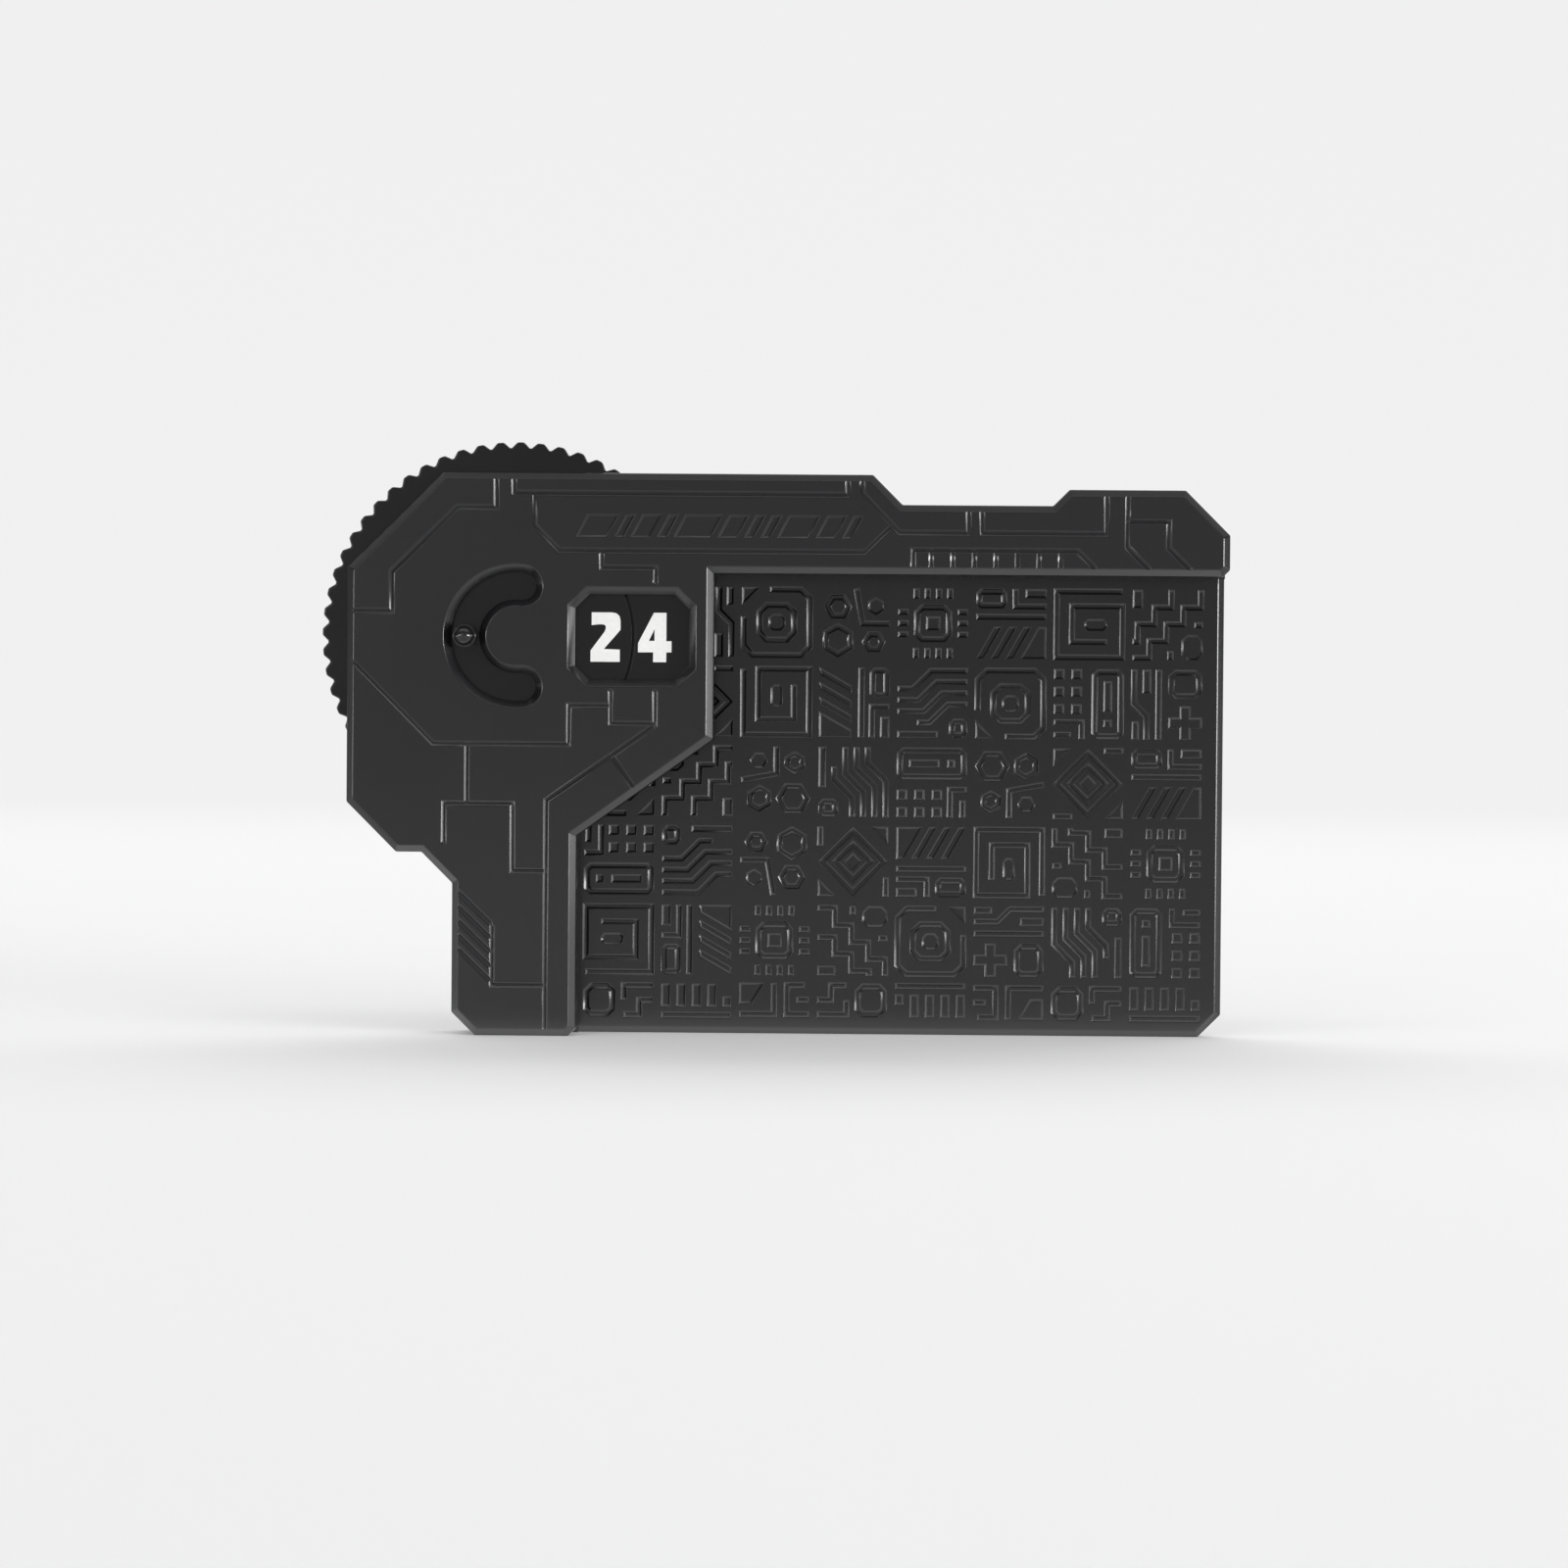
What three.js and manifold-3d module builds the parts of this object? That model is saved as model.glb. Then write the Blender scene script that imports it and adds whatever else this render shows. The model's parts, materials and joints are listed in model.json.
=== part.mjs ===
import * as THREE from 'three';
import { mergeVertices } from 'three/addons/utils/BufferGeometryUtils.js';
import Module from 'manifold-3d';

const wasm = await Module();
wasm.setup();

// A card pad with a two digit counter. Every piece is drawn lying face up: x to the right, y up the
// pad, z towards the viewer, with the dial axis at x = y = 0 and the front face of the cover at z = 0.
// A depth is a distance behind that face. The last lines stand the pad up on its bottom edge.

// Reach of the pad from the dial axis, in millimetres
const rightReach = 100.6;
const footReach = 56.4;

// Layers from the front face back
const skin = 1.6;
const unitsThickness = 3.1;
const tensThickness = 1.2;
const carrierThickness = 0.8;
const cardSlot = 1.1;
const plateThickness = 2.4;

// Clearances
const gap = 0.3;
const overrun = 4;

// Front cover
const wall = 1.6;
const coverChamfer = 1.0;
const lip = 0.2;
const jawBand = 2.8;
const shoulderCut = 4.36;
const legHalfWidth = 8.78;
const heelCut = 3.26;
const edgeCut = 1.0;
const chinAngle = 35.55;
const barStep = 1.9;
const barEndRise = 5.87;
const barEndFlat = 16.35;
const dipLength = 21.2;
const dipDepth = 2.3;

// Window over the two digits
const windowHeight = 12.0;
const windowCorner = 2.0;
const windowBevel = 1.05;
const windowRim = 2.45;
const windowBrow = 1.98;
const windowBridge = 3.5;

// Slot that guides the peg
const slotRadius = 7.15;
const slotWidth = 4.0;
const slotRounding = 1.0;
const slotEndAngle = 83;

// Engraved lines
const grooveWidth = 0.7;
const grooveDepth = 0.4;
const grooveSlope = 0.18;

// Units dial
const unitsRadius = 27.45;
const toothDepth = 0.8;
const toothTip = 0.9;
const toothCount = 60;
const firstTooth = 5;
const dialChamfer = 0.3;
const recessDepth = 0.9;
const recessRim = 5.05;
const hubRadius = 8.0;
const unitsClicks = 10;

// How far the units dial shows past the cover at its left, top and upper left sides
const leftShow = 3.65;
const topShow = 4.35;
const headShow = 3.83;

// Tens dial, sunk in the units dial, with its rim just right of the middle of the window
const tensOffset = 0.17;
const nestGap = 0.4;
const tensClicks = 5;
const tensClickAngle = 48;
const tensRecessDepth = 0.7;
const tensRecessRadius = 5.0;

// Detents
const notchRadius = 0.9;
const springThickness = 0.4;
const unitsSpringWidth = 0.6;
const springSpan = 6.5;
const springRise = 1.3;
const bumpSpan = 1.2;
const bumpRise = 0.9;
const springHook = 1.6;
const springPost = 0.7;
const unitsSpringAngle = 216;
const tensNotchRadius = 0.5;
const tensSpringThickness = 0.35;
const tensSpringWidth = 0.4;
const tensSpringAngle = 180;

// Peg
const pegRadius = 1.65;
const pegProud = 1.7;
const pegStem = 1.0;
const pegSocket = 0.8;
const pegAngle = 180;

// Axle
const axleRadius = 2.0;
const axleHead = 3.4;
const axleHeadHeight = 0.6;

// Card plate
const plateChamfer = 0.95;
const plateCorner = 3.2;

// Screws
const screwRadius = 0.95;
const screwHead = 1.8;
const screwHeadHeight = 1.0;
const screwSink = 0.2;
const screwCross = 0.5;
const screwCrossDepth = 0.5;
const screwCrossReach = 1.3;
const bossRadius = 2.2;
const bossMargin = 1.0;
const legScrewRise = 8.0;
const carrierScrewAngles = [230.3, 270, 27.5];
const jawScrewAngle = 242.1;
const barScrewShares = [0.4573, 0.6859, 0.9294];

// Feet
const footRadius = 4.0;
const footRecess = 0.4;
const footProud = 0.6;
const footRounding = 0.2;
const footInset = 7.4;

// Places worked out from the sizes above
const unitsFront = skin + gap;
const unitsBack = unitsFront + unitsThickness;
const tensFront = unitsFront;
const tensBack = tensFront + tensThickness;
const carrierFront = unitsBack + gap;
const carrierBack = carrierFront + carrierThickness;
const plateFront = carrierBack + cardSlot;
const plateBack = plateFront + plateThickness;
const chamberRadius = unitsRadius + gap;
const bossCircle = chamberRadius + bossRadius + bossMargin;
const leftReach = unitsRadius - leftShow;
const topReach = unitsRadius - topShow;
const headCut = leftReach + topReach - (unitsRadius - headShow) * Math.SQRT2;
const bodyRight = chamberRadius + lip;
const bodyFoot = chamberRadius + jawBand;
const jawCut = leftReach + bodyFoot - (bossCircle + bossRadius + gap) * Math.SQRT2;
const windowRight = bodyRight - windowRim - windowBevel;
const slotEnd = slotRadius * Math.cos(THREE.MathUtils.degToRad(slotEndAngle)) + slotWidth / 2 + slotRounding;
const windowLeft = slotEnd + windowBridge + windowBevel;
const windowCentre = (windowLeft + windowRight) / 2;
const barFoot = windowHeight / 2 + windowBevel + windowBrow;
const barTop = topReach - barStep;
const barEndCut = barTop - barFoot - barEndRise;
const dipLevel = barTop - dipDepth;
const dipEnd = rightReach - barEndCut - barEndFlat - dipDepth;
const dipStart = dipEnd - dipLength;
const nestRadius = windowCentre + tensOffset + nestGap / 2;
const tensRadius = nestRadius - nestGap;
const recessRadius = unitsRadius - recessRim;

// Engraved lines, as shares of the reach on their own side of the dial axis
const grooveShares = [
  [[-0.1176, 0.9697], [-0.1176, 0.7835], [-0.3445, 0.7835], [-0.7332, 0.3918], [-0.7332, 0.1494],
    [-0.9706, 0.1494]],
  [[-0.0126, 0.9697], [-0.0126, 0.8723], [0.4642, 0.8723], [0.4642, 0.9654]],
  [[0.0258, 0.8723], [0.0258, 0.6775], [0.0606, 0.5238], [0.4881, 0.5238], [0.5268, 0.6905]],
  [[0.4846, 0.9654], [0.4846, 0.8831], [0.5368, 0.645], [0.6332, 0.645], [0.6332, 0.7835]],
  [[0.6521, 0.7835], [0.6521, 0.645], [0.826, 0.645], [0.826, 0.8831]],
  [[0.8559, 0.8831], [0.8559, 0.5649], [0.8877, 0.4264]],
  [[0.8559, 0.7229], [0.9135, 0.7229], [0.9135, 0.5628], [0.9448, 0.4264]],
  [[0.5562, 0.4264], [0.5562, 0.539], [0.7863, 0.539], [0.8121, 0.4264]],
  [[0.1203, 0.5238], [0.1203, 0.4199], [0.1958, 0.4199], [0.1958, 0.303]],
  [[0.1342, -0.1241], [0.1342, -0.2163], [0.1963, -0.2163], [0.1963, -0.1241]],
  [[0.1963, -0.2199], [0.0447, -0.4096], [0.0447, -0.9858]],
  [[0.1342, -0.172], [0.0755, -0.172], [0.0755, -0.2695], [-0.4832, -0.2695], [-0.9706, -0.0638]],
  [[0.1362, -0.2961], [0.169, -0.3794]],
  [[-0.2815, -0.2695], [-0.2815, -0.4184]],
  [[-0.416, -0.5887], [-0.416, -0.4184], [-0.0084, -0.4184], [-0.0084, -0.586], [0.0447, -0.586]],
  [[-0.1261, -0.7199], [-0.1261, -0.8723], [0.0447, -0.8723]]
];

// Short repeated lines: first line, step to the next, number of lines
const ladderShares = { from: [0.5815, 0.539], to: [0.5815, 0.4264], step: [0.0301, 0], count: 7 };
const hatchShares = { from: [-0.3361, -0.6355], to: [-0.1261, -0.7216], step: [0, -0.0357], count: 5 };

// Helpers

function radians(degrees) {
  return THREE.MathUtils.degToRad(degrees);
}

function polar(radius, degrees) {
  return new THREE.Vector2(radius * Math.cos(radians(degrees)), radius * Math.sin(radians(degrees)));
}

function placeOf([xShare, yShare]) {
  const x = xShare * (xShare < 0 ? leftReach : rightReach);
  const y = yShare * (yShare < 0 ? footReach : topReach);
  return new THREE.Vector2(x, y);
}

function points(pairs) {
  return pairs.map(([x, y]) => new THREE.Vector2(x, y));
}

function solid(geometry) {
  const bare = geometry.clone();
  bare.deleteAttribute('normal');
  bare.deleteAttribute('uv');
  const merged = mergeVertices(bare);
  return new wasm.Manifold(new wasm.Mesh({
    numProp: 3,
    vertProperties: new Float32Array(merged.attributes.position.array),
    triVerts: new Uint32Array(merged.index.array)
  }));
}

function shapeOf(outline) {
  return outline instanceof THREE.Shape ? outline : new THREE.Shape(outline);
}

// Straight sided solid between two depths
function prism(outline, front, back) {
  const geometry = new THREE.ExtrudeGeometry(shapeOf(outline), { depth: back - front, bevelEnabled: false });
  geometry.translate(0, 0, -back);
  return solid(geometry);
}

// Solid between two depths whose front and back edges are cut at 45 degrees
function chamfered(outline, front, back, chamfer) {
  const geometry = new THREE.ExtrudeGeometry(shapeOf(outline), {
    depth: back - front - 2 * chamfer,
    bevelThickness: chamfer,
    bevelSize: chamfer,
    bevelOffset: -chamfer,
    bevelSegments: 1
  });
  geometry.translate(0, 0, chamfer - back);
  return solid(geometry);
}

// Cutter that widens the outline from one margin at the back depth to another at the front depth
function flare(outline, fromMargin, toMargin, front, back) {
  const geometry = new THREE.ExtrudeGeometry(shapeOf(outline), {
    depth: overrun,
    bevelThickness: back - front,
    bevelSize: toMargin - fromMargin,
    bevelOffset: fromMargin,
    bevelSegments: 1
  });
  geometry.translate(0, 0, -front);
  return solid(geometry);
}

// Two flares that follow the rounding of an edge of the cover
function roundedMouth(outline, rounding) {
  const turn = rounding * (1 - Math.SQRT1_2);
  return flare(outline, 0, turn, turn, rounding).add(flare(outline, turn, rounding, 0, turn));
}

function cylinder(radius, front, back, centre = new THREE.Vector2()) {
  const sides = radius > footRadius + gap ? 72 : 20;
  const geometry = new THREE.CylinderGeometry(radius, radius, back - front, sides);
  geometry.rotateX(Math.PI / 2);
  geometry.translate(centre.x, centre.y, -(front + back) / 2);
  return solid(geometry);
}

function box(left, right, bottom, top, front, back) {
  const geometry = new THREE.BoxGeometry(right - left, top - bottom, back - front);
  geometry.translate((left + right) / 2, (bottom + top) / 2, -(front + back) / 2);
  return solid(geometry);
}

// Turned solid from a profile of [radius, depth] pairs, listed from the back to the front
function turned(profile, segments) {
  const geometry = new THREE.LatheGeometry(points(profile.map(([r, depth]) => [r, -depth])), segments);
  geometry.rotateX(Math.PI / 2);
  return solid(geometry);
}

// Outline of a strip of even width along an open path
function ribbon(path, width) {
  const left = [];
  const right = [];
  path.forEach((point, index) => {
    const into = point.clone().sub(path[Math.max(index - 1, 0)]).normalize();
    const out = path[Math.min(index + 1, path.length - 1)].clone().sub(point).normalize();
    const along = into.clone().add(out).normalize();
    const mitre = Math.max(along.dot(into), along.dot(out));
    const side = new THREE.Vector2(-along.y, along.x).multiplyScalar(width / 2 / mitre);
    left.push(point.clone().add(side));
    right.unshift(point.clone().sub(side));
  });
  return [...right, ...left];
}

// Outline moved inwards by a distance, for corners listed counterclockwise
function inset(outline, distance) {
  const count = outline.length;
  return outline.map((point, index) => {
    const into = point.clone().sub(outline[(index + count - 1) % count]).normalize();
    const out = outline[(index + 1) % count].clone().sub(point).normalize();
    const along = into.clone().add(out).normalize();
    const inwards = new THREE.Vector2(-along.y, along.x);
    return point.clone().add(inwards.multiplyScalar(distance / along.dot(out)));
  });
}

function moved(body, centre) {
  return body.translate([centre.x, centre.y, 0]);
}

// Left and top side of the pad, the same on cover, carrier and plate
const sharedSide = [
  [dipStart, dipLevel],
  [dipStart - topReach + dipLevel, topReach],
  [headCut - leftReach, topReach],
  [-leftReach, topReach - headCut],
  [-leftReach, jawCut - bodyFoot],
  [jawCut - leftReach, -bodyFoot],
  [-legHalfWidth - shoulderCut, -bodyFoot],
  [-legHalfWidth, -bodyFoot - shoulderCut],
  [-legHalfWidth, heelCut - footReach],
  [heelCut - legHalfWidth, -footReach]
];

const barEnd = [
  [rightReach, barTop - barEndCut],
  [rightReach - barEndCut, barTop],
  [dipEnd + dipDepth, barTop],
  [dipEnd, dipLevel]
];

// Height of the slanted edge over the card, which keeps the lip's distance from the dial
function chinLevel(x) {
  return (x * Math.sin(radians(chinAngle)) - bodyRight) / Math.cos(radians(chinAngle));
}

const cardStop = [
  [legHalfWidth, chinLevel(legHalfWidth)],
  [bodyRight, chinLevel(bodyRight)],
  [bodyRight, barFoot]
];

// Outline of the cover with square corners at the foot of the leg and the end of the bar
const coverCorners = points([
  ...sharedSide,
  [legHalfWidth, -footReach],
  ...cardStop,
  [rightReach, barFoot],
  ...barEnd
]);

const coverOutline = points([
  ...sharedSide,
  [legHalfWidth - edgeCut, -footReach],
  [legHalfWidth, edgeCut - footReach],
  ...cardStop,
  [rightReach - edgeCut, barFoot],
  [rightReach, barFoot + edgeCut],
  ...barEnd
]);

const plateOutline = points([
  ...sharedSide,
  [rightReach - plateCorner, -footReach],
  [rightReach, plateCorner - footReach],
  ...barEnd
]);

function windowOutline() {
  const right = (windowRight - windowLeft) / 2;
  const top = windowHeight / 2;
  const corners = [
    [right, windowCorner - top],
    [right, top - windowCorner],
    [right - windowCorner, top],
    [windowCorner - right, top],
    [-right, top - windowCorner],
    [-right, windowCorner - top],
    [windowCorner - right, -top],
    [right - windowCorner, -top]
  ];
  return points(corners.map(([x, y]) => [x + windowCentre, y]));
}

function slotShape() {
  const start = radians(slotEndAngle);
  const end = 2 * Math.PI - start;
  const first = polar(slotRadius, slotEndAngle);
  const last = polar(slotRadius, -slotEndAngle);
  const half = slotWidth / 2;
  const shape = new THREE.Shape();
  shape.absarc(0, 0, slotRadius + half, start, end, false);
  shape.absarc(last.x, last.y, half, end, end + Math.PI, false);
  shape.absarc(0, 0, slotRadius - half, end, start, true);
  shape.absarc(first.x, first.y, half, start + Math.PI, start + 2 * Math.PI, false);
  return shape;
}

function groovePaths() {
  const paths = grooveShares.map((path) => path.map(placeOf));
  for (const { from, to, step, count } of [ladderShares, hatchShares]) {
    for (let index = 0; index < count; index += 1) {
      paths.push([from, to].map(([x, y]) => placeOf([x + step[0] * index, y + step[1] * index])));
    }
  }
  return paths;
}

// Bent strip inside the ring of notches of the units dial, and the two posts that hold it
function unitsSpringPlaces() {
  const along = polar(1, unitsSpringAngle + 90);
  const out = polar(1, unitsSpringAngle);
  const bumpRadius = recessRadius - gap - springThickness / 2;
  const place = (span, rise) => out.clone().multiplyScalar(bumpRadius - rise).addScaledVector(along, span);
  const post = springThickness / 2 + gap + springPost;
  return {
    path: [
      place(-springSpan, springRise + springHook),
      place(-springSpan, springRise),
      place(-bumpSpan, bumpRise),
      place(0, 0),
      place(bumpSpan, bumpRise),
      place(springSpan, springRise),
      place(springSpan, springRise + springHook)
    ],
    posts: [place(post - springSpan, springRise + post), place(springSpan - post, springRise + post)]
  };
}

const unitsSpring = unitsSpringPlaces();

// Arm of the tens spring, from its collar out to the bump: share of the bump's radius, degrees from it
const tensArmShares = [[0.75, 115], [0.87, 70], [0.87, 25], [1, 0], [0.85, -22]];

const carrierScrewPlaces = carrierScrewAngles.map((angle) => polar(bossCircle, angle));

const coverScrewPlaces = [
  polar(bossCircle, jawScrewAngle),
  new THREE.Vector2(0, legScrewRise - footReach),
  ...barScrewShares.map((share) => new THREE.Vector2(share * rightReach, (barFoot + dipLevel) / 2))
];

const footPlaces = points([
  [footInset - leftReach, 0],
  [legHalfWidth + footInset, footInset - footReach],
  [rightReach - footInset, barFoot - footInset],
  [rightReach - footInset, footInset - footReach]
]);

// Countersunk screw from the depth of its head face forward to its tip, grown all round for its room
function screwBody(headFace, tip, grow = 0, reach = 0) {
  const cone = screwHeadHeight - (screwHead - screwRadius);
  return turned([
    [0, headFace + reach],
    [screwHead + grow, headFace + reach],
    [screwHead + grow, headFace - cone],
    [screwRadius + grow, headFace - screwHeadHeight],
    [screwRadius + grow, tip - grow],
    [0, tip - grow]
  ], 20);
}

function crossRecess(headFace) {
  const half = screwCross / 2;
  const front = headFace - screwCrossDepth;
  return box(-screwCrossReach, screwCrossReach, -half, half, front, headFace + overrun)
    .add(box(-half, half, -screwCrossReach, screwCrossReach, front, headFace + overrun));
}

// Sub-parts

const screwTip = skin + 2 * gap;
const coverScrewFace = plateBack - screwSink;
const carrierScrewFace = plateFront - gap;

function frontCover() {
  let body = chamfered(coverOutline, 0, plateFront + coverChamfer, coverChamfer)
    .subtract(prism(inset(coverCorners, wall), skin, plateFront + overrun))
    .subtract(box(-leftReach - overrun, rightReach + overrun, -footReach - overrun, topReach + overrun,
      plateFront, plateFront + overrun))
    .subtract(cylinder(chamberRadius, skin, carrierFront));
  for (const place of carrierScrewPlaces) {
    body = body.add(cylinder(bossRadius, skin / 2, carrierFront, place))
      .subtract(moved(screwBody(carrierScrewFace, screwTip, gap), place));
  }
  for (const place of coverScrewPlaces) {
    body = body.add(cylinder(bossRadius, skin / 2, plateFront, place))
      .subtract(moved(screwBody(coverScrewFace, screwTip, gap), place));
  }
  body = body.subtract(box(legHalfWidth, rightReach + overrun, -footReach - overrun, barFoot,
    carrierBack, plateFront + overrun))
    .subtract(prism(windowOutline(), -overrun, skin + overrun))
    .subtract(flare(windowOutline(), 0, windowBevel, 0, windowBevel))
    .subtract(prism(slotShape(), -overrun, skin + overrun))
    .subtract(roundedMouth(slotShape(), slotRounding));
  const floorWidth = grooveWidth - 2 * grooveSlope;
  for (const path of groovePaths()) {
    body = body.subtract(flare(ribbon(path, floorWidth), 0, grooveSlope, 0, grooveDepth));
  }
  return body;
}

function cardPlate() {
  let body = chamfered(plateOutline, plateFront, plateBack + plateChamfer, plateChamfer)
    .add(prism(coverCorners, plateFront, plateBack))
    .subtract(box(-leftReach - overrun, rightReach + overrun, -footReach - overrun, topReach + overrun,
      plateBack, plateBack + overrun));
  for (const place of coverScrewPlaces) {
    body = body.subtract(moved(screwBody(coverScrewFace, screwTip, gap, overrun), place));
  }
  for (const place of footPlaces) {
    body = body.subtract(cylinder(footRadius + gap, plateBack - footRecess, plateBack + overrun, place));
  }
  return body;
}

function dialCarrier() {
  const left = -leftReach - overrun;
  const right = carrierScrewPlaces[2].x + bossRadius + wall;
  const foot = -bossCircle - bossRadius - wall;
  const top = topReach + overrun;
  let body = prism(inset(coverCorners, wall + gap), carrierFront, plateFront)
    .intersect(box(left, right, foot, top, carrierFront - overrun, plateFront + overrun))
    .subtract(box(legHalfWidth, right + overrun, foot - overrun, barFoot, carrierBack, plateFront + overrun))
    .subtract(cylinder(axleRadius + gap, carrierFront - overrun, plateFront + overrun))
    .subtract(cylinder(axleHead + gap, plateFront - gap - axleHeadHeight, plateFront + overrun));
  for (const place of carrierScrewPlaces) {
    body = body.subtract(moved(screwBody(carrierScrewFace, screwTip, gap, overrun), place));
  }
  for (const place of coverScrewPlaces) {
    body = body.subtract(cylinder(bossRadius + gap, skin, plateFront + overrun, place));
  }
  for (const place of unitsSpring.posts) {
    body = body.add(cylinder(springPost, unitsBack - unitsSpringWidth, carrierBack, place));
  }
  return body;
}

function unitsDial() {
  const rootRadius = unitsRadius - toothDepth;
  const tipHalf = THREE.MathUtils.radToDeg(toothTip / 2 / unitsRadius);
  const rootHalf = THREE.MathUtils.radToDeg((toothTip / 2 + toothDepth) / rootRadius);
  const outline = [];
  for (let tooth = 0; tooth < toothCount; tooth += 1) {
    const angle = firstTooth + tooth * 360 / toothCount;
    outline.push(polar(rootRadius, angle - rootHalf));
    outline.push(polar(unitsRadius, angle - tipHalf));
    outline.push(polar(unitsRadius, angle + tipHalf));
    outline.push(polar(rootRadius, angle + rootHalf));
  }
  const recessFloor = unitsBack - recessDepth;
  let recess = cylinder(recessRadius, recessFloor, unitsBack + overrun);
  for (let click = 0; click < unitsClicks; click += 1) {
    const place = polar(recessRadius, unitsSpringAngle + click * 360 / unitsClicks);
    recess = recess.add(cylinder(notchRadius, recessFloor, unitsBack + overrun, place));
  }
  recess = recess.subtract(cylinder(hubRadius, recessFloor - overrun, unitsBack + overrun));
  return chamfered(outline, unitsFront, unitsBack, dialChamfer)
    .subtract(recess)
    .subtract(cylinder(nestRadius, unitsFront - overrun, tensBack + gap))
    .subtract(cylinder(axleRadius + gap, unitsFront - overrun, unitsBack + overrun));
}

function tensDial() {
  const pegPlace = polar(slotRadius, pegAngle);
  const socket = cylinder(pegStem + gap, tensFront - overrun, tensFront + pegSocket, pegPlace);
  const recessFloor = tensBack - tensRecessDepth;
  let body = cylinder(tensRadius, tensFront, tensBack)
    .subtract(cylinder(axleRadius + gap, tensFront - overrun, tensBack + overrun))
    .subtract(cylinder(tensRecessRadius, recessFloor, tensBack + overrun))
    .subtract(socket);
  for (let click = 0; click < tensClicks; click += 1) {
    const angle = tensSpringAngle + (click - (tensClicks - 1) / 2) * tensClickAngle;
    const place = polar(tensRecessRadius, angle);
    body = body.subtract(cylinder(tensNotchRadius, recessFloor, tensBack + overrun, place));
  }
  return body;
}

function selectorPeg() {
  const profile = [
    [0, tensFront + pegSocket - gap],
    [pegStem, tensFront + pegSocket - gap],
    [pegStem, tensFront],
    [pegRadius, tensFront]
  ];
  const domeSteps = 5;
  for (let step = 0; step <= domeSteps; step += 1) {
    const turn = radians(90 * step / domeSteps);
    profile.push([pegRadius * Math.cos(turn), pegRadius - pegProud - pegRadius * Math.sin(turn)]);
  }
  profile[profile.length - 1][0] = 0;
  return moved(turned(profile, 32), polar(slotRadius, pegAngle));
}

function dialAxle() {
  const headBack = plateFront - gap;
  const headFront = headBack - axleHeadHeight;
  return turned([
    [0, headBack],
    [axleHead, headBack],
    [axleHead, headFront],
    [axleRadius, headFront],
    [axleRadius, tensFront],
    [0, tensFront]
  ], 48);
}

function unitsDetentSpring() {
  return prism(ribbon(unitsSpring.path, springThickness), unitsBack - unitsSpringWidth, unitsBack);
}

function tensDetentSpring() {
  const front = tensBack - tensSpringWidth;
  const bumpRadius = tensRecessRadius - gap - tensSpringThickness / 2;
  const bore = axleRadius + gap;
  const root = polar(bore + tensSpringThickness / 2, tensSpringAngle + 150);
  const path = tensArmShares.map(([share, angle]) => polar(share * bumpRadius, tensSpringAngle + angle));
  return cylinder(bore + tensSpringThickness, front, tensBack)
    .add(prism(ribbon([root, ...path], tensSpringThickness), front, tensBack))
    .subtract(cylinder(bore, front - overrun, tensBack + overrun));
}

function screw(headFace, place) {
  return moved(screwBody(headFace, screwTip).subtract(crossRecess(headFace)), place);
}

function rubberFoot(place) {
  const outer = plateBack + footProud;
  return moved(turned([
    [0, outer],
    [footRadius - footRounding, outer],
    [footRadius, outer - footRounding],
    [footRadius, plateBack - footRecess],
    [0, plateBack - footRecess]
  ], 32), place);
}

// Materials

function material(color, roughness, metalness) {
  return new THREE.MeshStandardMaterial({ color, roughness, metalness });
}

const blackShell = () => material(0x1f2023, 0.45, 0);
const blackDial = () => material(0x26272a, 0.5, 0);
const glossyPeg = () => material(0x141416, 0.15, 0);
const greyCarrier = () => material(0x3a3b3f, 0.6, 0);
const springSteel = () => material(0xa9abb0, 0.35, 1);
const screwSteel = () => material(0x77797e, 0.4, 1);
const blackRubber = () => material(0x101011, 0.9, 0);

// Assembly

const pad = new THREE.Group();

function addPiece(name, body, finish) {
  const { vertProperties, triVerts } = body.getMesh();
  const geometry = new THREE.BufferGeometry();
  geometry.setAttribute('position', new THREE.BufferAttribute(new Float32Array(vertProperties), 3));
  geometry.setIndex(new THREE.BufferAttribute(new Uint32Array(triVerts), 1));
  geometry.computeVertexNormals();
  const mesh = new THREE.Mesh(geometry, finish);
  mesh.name = name;
  pad.add(mesh);
}

addPiece('front_cover', frontCover(), blackShell());
addPiece('card_plate', cardPlate(), blackShell());
addPiece('dial_carrier', dialCarrier(), greyCarrier());
addPiece('units_dial', unitsDial(), blackDial());
addPiece('tens_dial', tensDial(), blackDial());
addPiece('selector_peg', selectorPeg(), glossyPeg());
addPiece('dial_axle', dialAxle(), screwSteel());
addPiece('units_detent_spring', unitsDetentSpring(), springSteel());
addPiece('tens_detent_spring', tensDetentSpring(), springSteel());
carrierScrewPlaces.forEach((place, index) => {
  addPiece(`carrier_screw_${index + 1}`, screw(carrierScrewFace, place), screwSteel());
});
coverScrewPlaces.forEach((place, index) => {
  addPiece(`cover_screw_${index + 1}`, screw(coverScrewFace, place), screwSteel());
});
footPlaces.forEach((place, index) => {
  addPiece(`rubber_foot_${index + 1}`, rubberFoot(place), blackRubber());
});

// Stand the pad on its bottom edge, facing -y, with the middle of its footprint at the origin.
// The quarter turn is written out, so that faces that meet stay exactly level with each other.
const bounds = new THREE.Box3().setFromObject(pad);
const middle = bounds.getCenter(new THREE.Vector3());
pad.matrixAutoUpdate = false;
pad.matrix.set(
  1, 0, 0, -middle.x,
  0, 0, -1, middle.z,
  0, 1, 0, -bounds.min.y,
  0, 0, 0, 1
);

export default pad;
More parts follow.
